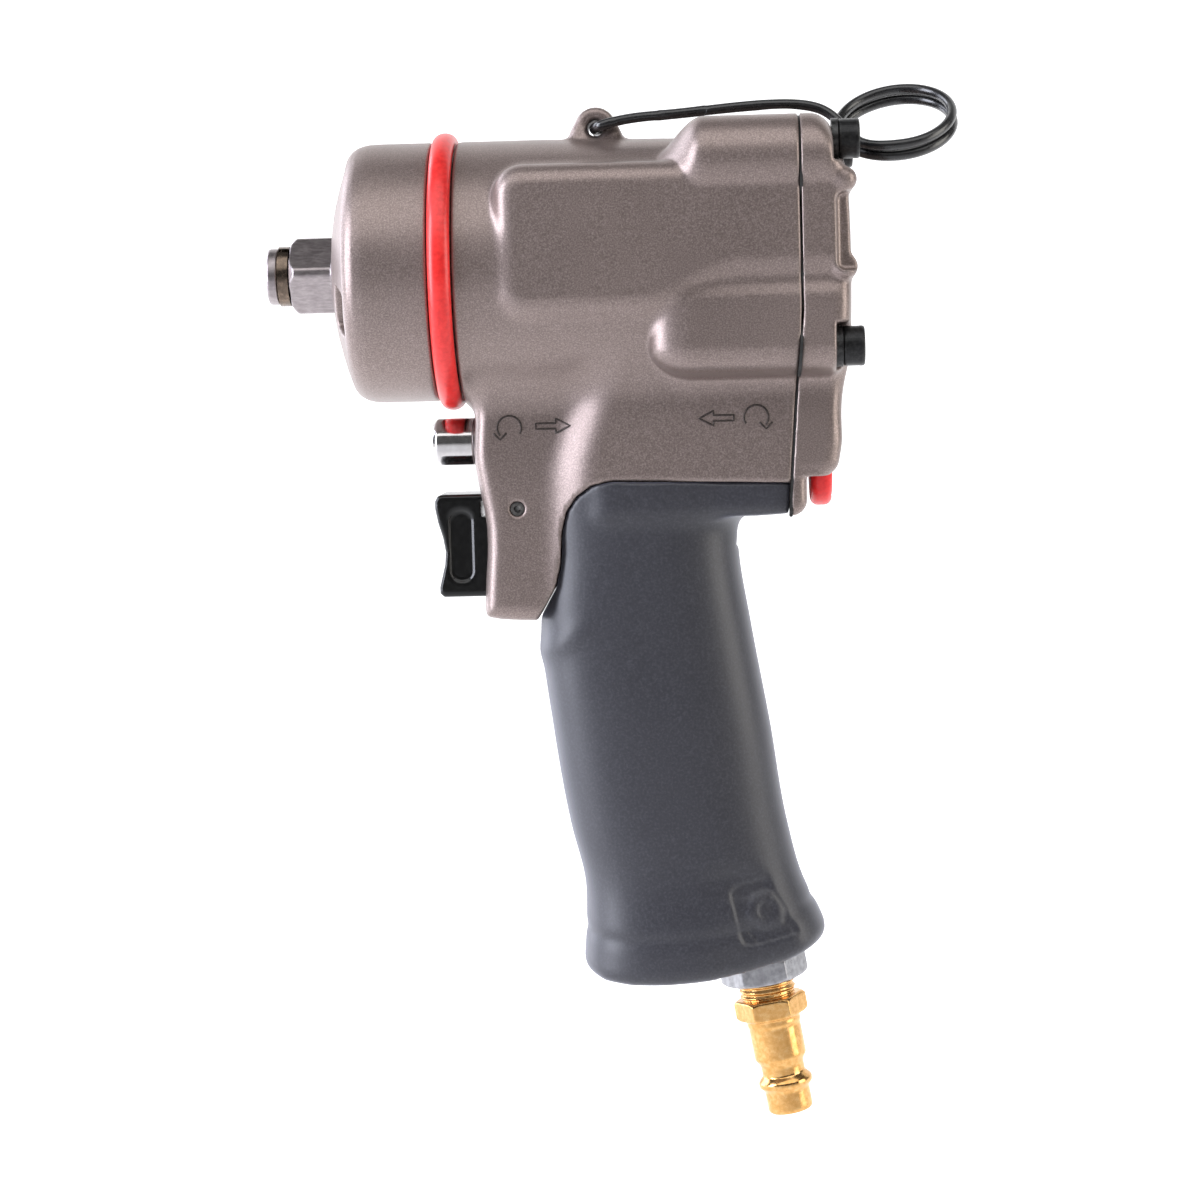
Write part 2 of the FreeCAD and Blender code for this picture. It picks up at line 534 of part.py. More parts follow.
save("trigger", make_trigger())
stem = rod(2.0, 45.0, 76.7, 0, STEM_Z)
save("trigger_stem", stem.fuse(rod(1.4, 76.7, 81.0, 0, STEM_Z)))
save("throttle_valve", tube(5.4, 1.4, 76.6, 79.0, 0, STEM_Z).cut(rod(2.0, 70, 76.7, 0, STEM_Z)))
bushing = rod(6.95, 64.0, 75.0, 0, STEM_Z).cut(rod(2.06, 60, 80, 0, STEM_Z))
bushing = bushing.cut(rod(4.2, 66.5, 80, 0, STEM_Z))
bushing = bushing.cut(Part.makeCylinder(2.4, 10, V(70, 0, STEM_Z), V(0, 0, 1)))
save("throttle_bushing", bushing)
save("valve_seat", tube(6.9, 4.2, 75.0, 76.5, 0, STEM_Z))

helix = Part.makeHelix(2.3, 9.2, 3.4)
coil_wire = Part.Wire(Part.makeCircle(0.35, V(3.4, 0, 0), V(0, 1, 0)))
coil = Part.Wire(helix.Edges).makePipeShell([coil_wire], True, True)
coil.rotate(V(0, 0, 0), V(0, 1, 0), 90)
coil.translate(V(79.4, 0, STEM_Z))
save("throttle_spring", coil)

# ---- grip sleeve, exhaust and inlet ---------------------------------------
sleeve = handle_form(0).common(prism(GRIP_OUTLINE, -30, 30))
tang = round_rims(prism(TANG_OUTLINE, -16.0, 16.0), 16.0, 1.5)
sleeve = merged([sleeve, tang])
for cutter in [housing, handle_form(RUBBER)]:
    sleeve = sleeve.cut(cutter)
sleeve = sleeve.cut(down_inlet(9.9, -6.0, 12.0)).cut(rod(7.0, 50, 95, 0, STEM_Z))
solids = sorted(sleeve.Solids, key=lambda s: -s.Volume)
save("grip_sleeve", solids[0])

muffler = Part.makeCylinder(6.0, 31.0, V(75.0, 0, -118.0), V(0.0824, 0, -1))
save("exhaust_muffler", muffler.cut(Part.makeCylinder(2.4, 40.0, V(74.84, 0, -116.0), V(0.0824, 0, -1))))

deflector = Part.makeCylinder(8.4, 3.0, V(77.97, 0, -154.0), V(-0.0824, 0, 1))
for k in range(6):
    a = math.radians(60 * k)
    at = V(78.46 + 4.8 * math.cos(a), 4.8 * math.sin(a), -160)
    hole = Part.makeCylinder(1.6, 12, at, V(-0.0824, 0, 1))
    deflector = deflector.cut(hole)
save("exhaust_deflector", deflector)

inlet = merged([hex_inlet(17.0, 0.6, 6.4), down_inlet(7.55, -14.0, 0.6)])
inlet = inlet.cut(down_inlet(6.4, -4.0, 8.0)).cut(down_inlet(4.4, -15.0, 8.0))
save("inlet_bushing", inlet)
save("inlet_screen", down_inlet(4.35, -10.0, -8.8).cut(down_inlet(1.2, -11.0, -8.0)))
save("inlet_o_ring", down_inlet(9.4, -0.9, 0.6).cut(down_inlet(7.65, -2.0, 2.0)))

nipple = merged([
    turned_inlet([
        (-3.6, 3.3), (-3.6, 6.1), (-3.2, 6.38), (9.0, 6.38), (9.6, 5.9), (10.0, 5.9), (10.0, 3.3)]),
    hex_inlet(14.0, 10.0, 15.0, 0),
    turned_inlet([
        (14.0, 3.3), (14.0, 6.0), (16.2, 6.0), (16.8, 5.75), (24.0, 5.75), (25.2, 5.0), (25.8, 4.8),
        (28.4, 4.8), (29.2, 6.0), (30.4, 6.0), (31.2, 5.0), (36.0, 5.0), (36.4, 4.6), (36.4, 3.3)])])
nipple = nipple.cut(down_inlet(3.3, -6.0, 40.0))
save("air_nipple", nipple)

# ---- wire hanger -----------------------------------------------------------
RING_C = V(136.9, 0.0, 29.9)
RING_R = 12.4
RING_PITCH = 2.6
JOIN_DEG = 50            # the leg meets the ring this far round from its front
TURN_DEG = 640


def make_hanger():
    """A wire leg from the eye to a ring of nearly two turns."""
    normal = V(-0.12, -0.60, 0.85).normalize()
    along = V(-1, 0, 0) - normal * normal.dot(V(-1, 0, 0))
    along.normalize()
    side = normal.cross(along)
    points = [
        V(LUG_X, 6.6, LUG_Z), V(LUG_X, 0, LUG_Z), V(LUG_X, -5.2, LUG_Z), V(LUG_X + 1.2, -7.3, LUG_Z + 0.3),
        V(LUG_X + 4.5, -7.6, LUG_Z + 1.1), V(88.0, -6.6, 32.2), V(99.5, -5.4, 33.2), V(108.0, -4.6, 33.8),
        V(113.8, -4.2, 33.9), V(117.6, -4.0, 33.5), V(121.0, -4.2, 32.5), V(124.2, -5.2, 30.1)]
    for deg in range(JOIN_DEG, JOIN_DEG + TURN_DEG + 1, 32):
        a = math.radians(deg)
        lift = 1.9 - RING_PITCH * (deg - JOIN_DEG) / 360.0
        points.append(RING_C + along * (RING_R * math.cos(a)) + side * (RING_R * math.sin(a)) + normal * lift)
    curve = Part.BSplineCurve()
    curve.interpolate(points)
    path = Part.Wire(curve.toShape())
    profile = Part.Wire(Part.makeCircle(WIRE_R, points[0], V(0, 1, 0)))
    return path.makePipeShell([profile], True, True)


save("hanger_wire", make_hanger())
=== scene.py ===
import json
import math

import bmesh
import bpy
import numpy as np
import openvdb
from mathutils import Matrix, Vector
from mathutils.bvhtree import BVHTree


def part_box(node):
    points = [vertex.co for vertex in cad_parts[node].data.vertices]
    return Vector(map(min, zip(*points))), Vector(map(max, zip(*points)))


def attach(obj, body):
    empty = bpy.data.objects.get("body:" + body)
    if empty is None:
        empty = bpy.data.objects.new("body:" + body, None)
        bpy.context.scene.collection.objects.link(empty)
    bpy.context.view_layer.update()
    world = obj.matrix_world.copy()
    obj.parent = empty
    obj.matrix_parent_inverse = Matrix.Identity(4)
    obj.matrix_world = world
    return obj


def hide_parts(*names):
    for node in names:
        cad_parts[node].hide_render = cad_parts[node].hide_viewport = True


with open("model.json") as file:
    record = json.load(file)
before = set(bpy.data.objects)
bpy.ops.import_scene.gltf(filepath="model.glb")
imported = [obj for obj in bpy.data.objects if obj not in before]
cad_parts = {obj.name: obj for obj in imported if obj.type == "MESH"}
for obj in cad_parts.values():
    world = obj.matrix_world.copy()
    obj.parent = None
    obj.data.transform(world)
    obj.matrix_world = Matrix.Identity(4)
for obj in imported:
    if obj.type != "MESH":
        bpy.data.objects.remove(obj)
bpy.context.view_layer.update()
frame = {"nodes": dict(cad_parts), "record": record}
MM = 0.001
COARSE = 1.0


# ---- placing things from the frame ---------------------------------------
def node_box(node):
    """A CAD node's low and high corners, in millimetres."""
    low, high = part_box(node)
    return np.array(low) / MM, np.array(high) / MM


# ---- distance fields ------------------------------------------------------
def grid(low, high, step):
    """Broadcasting X, Y, Z arrays in millimetres, with the first corner and step."""
    step *= COARSE
    axes = [np.arange(a, b + step, step, dtype=np.float32) for a, b in zip(low, high)]
    x = axes[0][:, None, None]
    y = axes[1][None, :, None]
    z = axes[2][None, None, :]
    return x, y, z, (np.array([a[0] for a in axes]), step)


def smin(a, b, k):
    """A union with a fillet of about k."""
    h = np.maximum(k - np.abs(a - b), 0) / k
    return np.minimum(a, b) - h * h * k * 0.25


def smax(a, b, k):
    """An intersection with a rounded edge of about k."""
    return -smin(-a, -b, k)


def joined(d2, lengthwise, r):
    """The rounded meeting of a side distance and an end distance."""
    a, b = d2 + r, lengthwise + r
    return np.sqrt(np.maximum(a, 0) ** 2 + np.maximum(b, 0) ** 2) + np.minimum(np.maximum(a, b), 0) - r


def box2(u, v, cu, cv, hu, hv, r=0.0):
    """Distance to a rounded rectangle."""
    a, b = np.abs(u - cu) - hu + r, np.abs(v - cv) - hv + r
    return np.sqrt(np.maximum(a, 0) ** 2 + np.maximum(b, 0) ** 2) + np.minimum(np.maximum(a, b), 0) - r


def segment2(u, v, a, b):
    """Distance to the line from a to b in a plane; the ends may be arrays."""
    bu, bv = b[0] - a[0], b[1] - a[1]
    pu, pv = u - a[0], v - a[1]
    t = np.clip((pu * bu + pv * bv) / (bu * bu + bv * bv), 0, 1)
    return np.sqrt((pu - bu * t) ** 2 + (pv - bv * t) ** 2)


def eased(points, rounds=2):
    """A closed outline with its corners cut smooth."""
    p = np.array(points, dtype=float)
    for _ in range(rounds):
        q = np.roll(p, -1, axis=0)
        p = np.stack([0.78 * p + 0.22 * q, 0.22 * p + 0.78 * q], axis=1).reshape(-1, 2)
    return p


def outline2(x, z, points):
    """Signed distance in the XZ plane to a closed outline."""
    u, v = x[:, 0, 0][:, None], z[0, 0, :][None, :]
    best = np.full((u.shape[0], v.shape[1]), 1e9, dtype=np.float32)
    inside = np.zeros(best.shape, dtype=bool)
    count = len(points)
    for k in range(count):
        (ax, az), (bx, bz) = points[k], points[(k + 1) % count]
        ex, ez = bx - ax, bz - az
        t = np.clip(((u - ax) * ex + (v - az) * ez) / (ex * ex + ez * ez), 0, 1)
        best = np.minimum(best, (u - ax - ex * t) ** 2 + (v - az - ez * t) ** 2)
        if az != bz:
            crosses = (az > v) != (bz > v)
            inside ^= crosses & (u < ex * (v - az) / ez + ax)
    d = np.sqrt(best) * np.where(inside, -1, 1)
    return d.astype(np.float32)[:, None, :]


def step_up(x, a, b):
    """0 before a, 1 after b, smooth between."""
    t = np.clip((x - a) / (b - a), 0, 1)
    return t * t * (3 - 2 * t)


def curve_at(z, knots, column):
    """A smooth function of z through table rows of (z, value, ...)."""
    rows = sorted(knots)
    zs = np.array([r[0] for r in rows], dtype=float)
    vs = np.array([r[column] for r in rows], dtype=float)
    slope = np.gradient(vs, zs)
    zc = np.clip(z, zs[0], zs[-1])
    k = np.clip(np.searchsorted(zs, zc) - 1, 0, len(zs) - 2)
    h = zs[k + 1] - zs[k]
    t = (zc - zs[k]) / h
    a, b = vs[k], vs[k + 1]
    m0, m1 = slope[k] * h, slope[k + 1] * h
    t2, t3 = t * t, t * t * t
    out = (2 * t3 - 3 * t2 + 1) * a + (t3 - 2 * t2 + t) * m0 + (3 * t2 - 2 * t3) * b + (t3 - t2) * m1
    return out.astype(np.float32)


# ---- meshes ---------------------------------------------------------------
def new_object(name, points, faces, material, smooth=True):
    mesh = bpy.data.meshes.new(name)
    mesh.from_pydata([tuple(p) for p in points], [], [tuple(f) for f in faces])
    mesh.validate()
    mesh.polygons.foreach_set("use_smooth", [smooth] * len(mesh.polygons))
    mesh.materials.append(material)
    mesh.update()
    obj = bpy.data.objects.new(name, mesh)
    bpy.context.scene.collection.objects.link(obj)
    return obj


def relax(points, quads, rounds):
    """Ease the grid's stair steps with shrink-free smoothing."""
    edges = np.concatenate([quads[:, [k, (k + 1) % 4]] for k in range(4)])
    edges = np.concatenate([edges, edges[:, ::-1]])
    count = np.bincount(edges[:, 0], minlength=len(points)).astype(float)[:, None]
    for _ in range(rounds):
        for weight in (0.5, -0.53):
            total = [np.bincount(edges[:, 0], points[edges[:, 1], k], len(points)) for k in range(3)]
            total = np.stack(total, 1)
            points = points + weight * (total / np.maximum(count, 1) - points)
    return points


def drop_specks(points, quads, share=0.02):
    """Leave out tiny loose shells."""
    label = np.arange(len(points))
    edges = np.concatenate([quads[:, [k, (k + 1) % 4]] for k in range(4)])
    for _ in range(400):
        low = np.minimum(label[edges[:, 0]], label[edges[:, 1]])
        new = label.copy()
        np.minimum.at(new, edges[:, 0], low)
        np.minimum.at(new, edges[:, 1], low)
        new = new[new]
        if (new == label).all():
            break
        label = new
    sizes = np.bincount(label[quads[:, 0]], minlength=len(points))
    keep = sizes[label[quads[:, 0]]] >= share * len(quads)
    quads = quads[keep]
    used = np.unique(quads)
    place = np.full(len(points), -1)
    place[used] = np.arange(len(used))
    return points[used], place[quads]


def from_field(name, field, place, material, relaxing=2):
    """Mesh the zero surface of a distance field."""
    low, step = place
    vdb = openvdb.FloatGrid(3.0)
    vdb_field = np.ascontiguousarray(np.clip(field / step, -3, 3), dtype=np.float32)
    vdb.copyFromArray(vdb_field)
    points, quads = vdb.convertToQuads(isovalue=0.0)
    points, quads = drop_specks(points.astype(float), quads.astype(int)[:, ::-1])
    points = relax(points, quads, relaxing)
    points = settle(points, vdb_field)
    points = (points * step + low) * MM
    a, b, c = (points[quads[:, k]] for k in range(3))
    volume = np.einsum("ij,ij->i", a, np.cross(b, c)).sum()
    if volume < 0:
        quads = quads[:, ::-1]
    return new_object(name, points, quads, material)


def lathe(name, profile, material, sides=128, origin=(0, 0, 0), axis=(1, 0, 0)):
    """A closed solid turned about an axis from (along, radius) points in mm; the profile is a closed loop."""
    axis = Vector(axis).normalized()
    across = axis.orthogonal().normalized()
    other = axis.cross(across)
    origin = Vector(origin)
    points, faces = [], []
    for k in range(sides):
        a = 2 * math.pi * k / sides
        out = across * math.cos(a) + other * math.sin(a)
        for s, r in profile:
            points.append((origin + axis * s + out * r) * MM)
    n = len(profile)
    for k in range(sides):
        for j in range(n):
            a, b = k * n + j, k * n + (j + 1) % n
            c, d = ((k + 1) % sides) * n + (j + 1) % n, ((k + 1) % sides) * n + j
            faces.append((a, b, c, d))
    obj = new_object(name, points, faces, material)
    bm = bmesh.new()
    bm.from_mesh(obj.data)
    bmesh.ops.remove_doubles(bm, verts=bm.verts, dist=1e-7)
    bmesh.ops.recalc_face_normals(bm, faces=bm.faces)
    bm.to_mesh(obj.data)
    bm.free()
    return obj


def rounded(profile, radius, segments=3):
    """A closed profile with its corners rounded."""
    p = [np.array(q, dtype=float) for q in profile]
    out = []
    for k, here in enumerate(p):
        before, after = p[k - 1], p[(k + 1) % len(p)]
        u, v = before - here, after - here
        lu, lv = np.linalg.norm(u), np.linalg.norm(v)
        if lu < 1e-6 or lv < 1e-6 or here[1] <= 1e-6:
            out.append(here)
            continue
        size = min(radius, lu * 0.45, lv * 0.45)
        a, b = here + u / lu * size, here + v / lv * size
        for j in range(segments + 1):
            t = j / segments
            out.append((1 - t) ** 2 * a + 2 * t * (1 - t) * here + t * t * b)
    return out


def edge_split_normals(obj, degrees=35):
    """Keep true edges crisp where faces meet sharply."""
    obj.data.set_sharp_from_angle(angle=math.radians(degrees))


def put(obj, body, slot, *nodes):
    """Ride on a body and stand for CAD nodes; the slot argument is not used."""
    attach(obj, body)
    if nodes:
        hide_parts(*nodes)
    return obj


def sample(field, points):
    """Field values at fractional grid points."""
    top = np.array(field.shape) - 2
    base = np.clip(np.floor(points).astype(int), 0, top)
    f = np.clip(points - base, 0, 1)
    out = 0
    for dx in (0, 1):
        for dy in (0, 1):
            for dz in (0, 1):
                wx = f[:, 0] if dx else 1 - f[:, 0]
                wy = f[:, 1] if dy else 1 - f[:, 1]
                wz = f[:, 2] if dz else 1 - f[:, 2]
                out = out + field[base[:, 0] + dx, base[:, 1] + dy, base[:, 2] + dz] * wx * wy * wz
    return out


def settle(points, field, rounds=2):
    """Pull points onto the field's zero surface."""
    for _ in range(rounds):
        value = sample(field, points)
        slope = np.stack([sample(field, points + e) - sample(field, points - e) for e in np.eye(3) * 0.5], 1)
        size = np.maximum((slope ** 2).sum(1), 0.05)
        move = -value[:, None] * slope / size[:, None]
        points = points + np.clip(move, -0.6, 0.6)
    return points


# ---- finishes -------------------------------------------------------------
def finish_nodes(name):
    material = bpy.data.materials.new(name)
    material.use_nodes = True
    tree = material.node_tree
    shader = tree.nodes["Principled BSDF"]
    return material, tree, shader


def noise(tree, scale, detail=2.0, rough=0.5, stretch=None):
    """Noise in metres of object space; scale is cycles per metre."""
    where = tree.nodes.new("ShaderNodeTexCoord")
    out = tree.nodes.new("ShaderNodeTexNoise")
    out.inputs["Scale"].default_value = scale
    out.inputs["Detail"].default_value = detail
    out.inputs["Roughness"].default_value = rough
    if stretch:
        mapping = tree.nodes.new("ShaderNodeMapping")
        mapping.inputs["Scale"].default_value = stretch
        tree.links.new(where.outputs["Object"], mapping.inputs["Vector"])
        tree.links.new(mapping.outputs["Vector"], out.inputs["Vector"])
    else:
        tree.links.new(where.outputs["Object"], out.inputs["Vector"])
    return out.outputs["Fac"]


def ramp(tree, fac, stops):
    node = tree.nodes.new("ShaderNodeValToRGB")
    band = node.color_ramp
    while len(band.elements) < len(stops):
        band.elements.new(0.5)
    for element, (place, colour) in zip(band.elements, stops):
        element.position = place
        element.color = (*colour, 1.0)
    tree.links.new(fac, node.inputs["Fac"])
    return node.outputs["Color"]


def span(tree, fac, low, high, a=0.3, b=0.7):
    """Fac from a to b taken to low..high."""
    node = tree.nodes.new("ShaderNodeMapRange")
    node.inputs["From Min"].default_value = a
    node.inputs["From Max"].default_value = b
    node.inputs["To Min"].default_value = low
    node.inputs["To Max"].default_value = high
    tree.links.new(fac, node.inputs["Value"])
    return node.outputs["Result"]


def mixed(tree, fac, a, b):
    node = tree.nodes.new("ShaderNodeMix")
    node.data_type = "RGBA"
    tree.links.new(fac, node.inputs["Factor"])
    tree.links.new(a, node.inputs["A"])
    tree.links.new(b, node.inputs["B"])
    return node.outputs["Result"]


def added(tree, a, b, how="ADD"):
    node = tree.nodes.new("ShaderNodeMath")
    node.operation = how
    tree.links.new(a, node.inputs[0])
    if isinstance(b, float):
        node.inputs[1].default_value = b
    else:
        tree.links.new(b, node.inputs[1])
    return node.outputs["Value"]


def edge_mask(tree, low=0.51, high=0.56):
    """Where the surface bends outward, for handling wear."""
    geometry = tree.nodes.new("ShaderNodeNewGeometry")
    return span(tree, geometry.outputs["Pointiness"], 0.0, 1.0, low, high)


def bump(tree, shader, fac, strength, distance):
    node = tree.nodes.new("ShaderNodeBump")
    node.inputs["Strength"].default_value = strength
    node.inputs["Distance"].default_value = distance
    tree.links.new(fac, node.inputs["Height"])
    tree.links.new(node.outputs["Normal"], shader.inputs["Normal"])


def finish(name, dark, mid, light, rough, metallic, grain, bump_mm, patch=60.0, wear=None, coat=0.0,
           stretch=None, strength=0.5, spec=0.5, grain_stops=(0.34, 0.5, 0.66), sheen=0.0):
    """A finish: grained colour, uneven roughness, fine bump and wear on the edges."""
    material, tree, shader = finish_nodes(name)
    fine = noise(tree, grain, 3.0, 0.6, stretch)
    broad = noise(tree, patch, 4.0, 0.55)
    colour = ramp(tree, fine, list(zip(grain_stops, (dark, mid, light))))
    darker, lighter = tuple(c * 0.9 for c in mid), tuple(min(1, c * 1.08) for c in mid)
    shade = ramp(tree, broad, [(0.3, darker), (0.7, lighter)])
    half = tree.nodes.new("ShaderNodeMix")
    half.data_type = "RGBA"
    half.inputs["Factor"].default_value = 0.35
    tree.links.new(colour, half.inputs["A"])
    tree.links.new(shade, half.inputs["B"])
    out = half.outputs["Result"]
    if wear:
        tone, amount = wear
        scratch = span(tree, noise(tree, 900.0, 4.0, 0.7), 0.0, amount, 0.42, 0.62)
        mask = added(tree, edge_mask(tree), scratch, "MULTIPLY")
        worn = ramp(tree, fine, [(0.3, tuple(c * 0.85 for c in tone)), (0.7, tone)])
        out = mixed(tree, mask, out, worn)
    tree.links.new(out, shader.inputs["Base Color"])
    uneven = added(tree, added(tree, fine, 0.5, "MULTIPLY"), added(tree, broad, 0.5, "MULTIPLY"))
    tree.links.new(span(tree, uneven, rough[0], rough[1], 0.35, 0.65), shader.inputs["Roughness"])
    shader.inputs["Metallic"].default_value = metallic
    shader.inputs["Specular IOR Level"].default_value = spec
    if coat:
        shader.inputs["Coat Weight"].default_value = coat
        shader.inputs["Coat Roughness"].default_value = 0.12
    if sheen:
        shader.inputs["Sheen Weight"].default_value = sheen
        shader.inputs["Sheen Roughness"].default_value = 0.4
        shader.inputs["Sheen Tint"].default_value = (0.75, 0.78, 1.0, 1.0)
    bump(tree, shader, fine, strength, bump_mm * MM)
    return material


PAINT = finish(
    "case_paint", (0.14, 0.107, 0.097), (0.245, 0.193, 0.178), (0.45, 0.372, 0.348), (0.31, 0.43), 0.6,
    3300.0, 0.05, patch=35.0, wear=((0.30, 0.26, 0.24), 0.45), strength=0.4,
    grain_stops=(0.30, 0.50, 0.74))
RED = finish(
    "red_rubber", (0.62, 0.012, 0.012), (0.76, 0.02, 0.018), (0.84, 0.035, 0.03), (0.30, 0.42), 0.0,
    900.0, 0.02, strength=0.25, coat=0.15)
STEEL = finish(
    "steel", (0.24, 0.21, 0.215), (0.31, 0.275, 0.28), (0.40, 0.36, 0.36), (0.30, 0.40), 1.0, 1500.0,
    0.008, strength=0.15, stretch=(0.35, 1.0, 1.0), wear=((0.56, 0.52, 0.51), 0.35))
DARK_STEEL = finish(
    "dark_steel", (0.08, 0.078, 0.076), (0.14, 0.135, 0.13), (0.22, 0.21, 0.2), (0.32, 0.46), 0.9,
    1300.0, 0.02, strength=0.3)
CHROME = finish(
    "chrome", (0.52, 0.50, 0.50), (0.58, 0.56, 0.56), (0.64, 0.63, 0.63), (0.10, 0.17), 1.0, 700.0,
    0.004, strength=0.1)
BRONZE = finish(
    "bronze", (0.10, 0.075, 0.06), (0.15, 0.115, 0.09), (0.23, 0.17, 0.13), (0.20, 0.30), 1.0, 1200.0,
    0.015, strength=0.25)
BRASS = finish(
    "brass", (0.56, 0.29, 0.085), (0.68, 0.38, 0.135), (0.78, 0.50, 0.22), (0.16, 0.24), 1.0, 900.0,
    0.005, strength=0.12, patch=120.0)
ZINC = finish(
    "zinc", (0.22, 0.22, 0.235), (0.33, 0.33, 0.35), (0.46, 0.46, 0.49), (0.26, 0.40), 0.95, 600.0,
    0.012, strength=0.2, patch=200.0)
BLACK_STEEL = finish(
    "black_steel", (0.010, 0.010, 0.011), (0.018, 0.018, 0.019), (0.035, 0.035, 0.036), (0.30, 0.44),
    0.6, 1500.0, 0.03, strength=0.35, wear=((0.12, 0.12, 0.12), 0.5))
BLACK_WIRE = finish(
    "black_wire", (0.006, 0.006, 0.007), (0.011, 0.011, 0.012), (0.02, 0.02, 0.022), (0.22, 0.34), 0.0,
    800.0, 0.02, strength=0.2, coat=0.4)
TRIGGER_BLACK = finish(
    "trigger_plastic", (0.003, 0.003, 0.003), (0.005, 0.005, 0.005), (0.009, 0.009, 0.009),
    (0.14, 0.24), 0.0, 900.0, 0.006, strength=0.15, spec=0.4)
RED_PLASTIC = finish(
    "red_plastic", (0.66, 0.010, 0.012), (0.78, 0.018, 0.018), (0.85, 0.03, 0.03), (0.3, 0.42), 0.0,
    800.0, 0.012, strength=0.2, spec=0.3)
GRIP = finish(
    "grip_rubber", (0.018, 0.018, 0.024), (0.028, 0.028, 0.036), (0.055, 0.056, 0.068), (0.38, 0.50),
    0.0, 1900.0, 0.05, patch=28.0, strength=0.35, spec=0.55, sheen=0.28, grain_stops=(0.3, 0.5, 0.74))
BLACK_RUBBER = finish(
    "black_rubber", (0.008, 0.008, 0.008), (0.013, 0.013, 0.013), (0.024, 0.024, 0.024), (0.45, 0.62),
    0.0, 1400.0, 0.03, strength=0.3)
VANE = finish(
    "vane_resin", (0.10, 0.05, 0.02), (0.16, 0.08, 0.035), (0.23, 0.13, 0.06), (0.4, 0.6), 0.0, 1600.0,
    0.03, stretch=(0.2, 1.0, 1.0))
FELT = finish(
    "felt", (0.18, 0.17, 0.15), (0.27, 0.26, 0.23), (0.38, 0.36, 0.33), (0.8, 0.95), 0.0, 1700.0, 0.2,
    strength=0.8)
BLACK_PLASTIC = finish(
    "black_plastic", (0.008, 0.008, 0.009), (0.014, 0.014, 0.015), (0.024, 0.024, 0.025), (0.35, 0.5),
    0.0, 1500.0, 0.03, strength=0.3)
# The direction marks' dark colour is painted shade, standing in for the shadow along their raised strokes.
MARK_SHADE = finish(
    "mark_shadow", (0.020, 0.016, 0.014), (0.045, 0.036, 0.032), (0.10, 0.08, 0.072), (0.4, 0.55), 0.5,
    2600.0, 0.03, strength=0.3)
FINISHES = {
    "case_paint": PAINT, "red_rubber": RED, "steel": STEEL, "dark_steel": DARK_STEEL, "chrome": CHROME,
    "bronze": BRONZE, "brass": BRASS, "zinc": ZINC, "black_steel": BLACK_STEEL, "black_wire": BLACK_WIRE,
    "trigger_plastic": TRIGGER_BLACK, "red_plastic": RED_PLASTIC, "grip_rubber": GRIP,
    "black_rubber": BLACK_RUBBER, "vane_resin": VANE, "felt": FELT, "black_plastic": BLACK_PLASTIC}

# Every carried-over CAD node takes the finish of its material slot.
for part in frame["record"]["subparts"]:
    if part["node"] in frame["nodes"]:
        shown = frame["nodes"][part["node"]]
        shown.data.materials.clear()
        shown.data.materials.append(FINISHES[part["material_slot"]])

# ---- the shared outside form of housing and cover -------------------------
UPPER_BOLT = (16.0, 25.4)
LOWER_BOLT = (22.0, -18.2)
SPOOL_Z = -37.0
STEM_Z = -60.5
HANDLE = (
    (-44.0, 58.2, 101.6, 17.0), (-62.0, 58.8, 101.2, 16.5), (-78.0, 57.5, 103.5, 16.5),
    (-100.0, 59.6, 107.2, 16.8), (-122.0, 63.0, 110.5, 17.0), (-134.0, 65.7, 113.5, 17.3),
    (-145.0, 65.6, 118.4, 18.8), (-160.0, 64.2, 119.6, 19.2))
GRIP_EDGE = [
    (57.3, -75.9), (61.4, -68.7), (62.7, -63.6), (63.2, -56.6), (64.3, -52.3), (66.5, -49.1),
    (69.9, -46.6), (74.2, -45.8), (93.2, -46.4), (112.4, -47.0), (112.0, -53.7), (106.2, -54.2),
    (103.3, -55.3), (101.3, -57.5), (100.8, -61.0), (130.0, -61.0), (130.0, -175.0), (40.0, -175.0),
    (40.0, -75.9)]
BASE_LINE = (
    (40.0, -147.5), (58.0, -150.5), (64.6, -153.3), (70.0, -155.0), (76.0, -155.4), (84.0, -155.2),
    (92.6, -154.5), (101.5, -153.2), (109.0, -151.2), (118.0, -147.4), (127.0, -142.0))
NECK_EDGE = [
    (46.0, -20.0), (44.8, -33.0), (44.3, -40.0), (45.2, -46.0), (46.7, -54.0), (46.8, -60.0),
    (46.2, -67.0), (45.8, -74.0), (46.9, -75.2), (57.3, -76.2), (75.0, -76.0), (93.0, -60.0),
    (97.0, -54.2), (117.0, -54.2), (124.0, -40.0), (126.0, -18.0), (110.0, -8.0), (60.0, -8.0)]


HANGER_EYE = (72.3, 29.9)
TRIGGER_PIN = (53.6, -51.4)
# The side panel's middle line: its edge lies 6.5 outside this.
PANEL = [
    (57.5, -4.4), (57.5, 14.9), (140.0, 14.9), (140.0, 3.2), (102.0, 3.2), (97.5, 2.6), (92.0, 0.0),
    (87.0, -3.4), (83.0, -4.4)]


def parting_x(z):
    """X of the joint between housing and cover."""
    return np.interp(z, [-70.0, -48.0, -10.0, 60.0], [111.2, 112.4, 115.3, 115.3]).astype(np.float32)


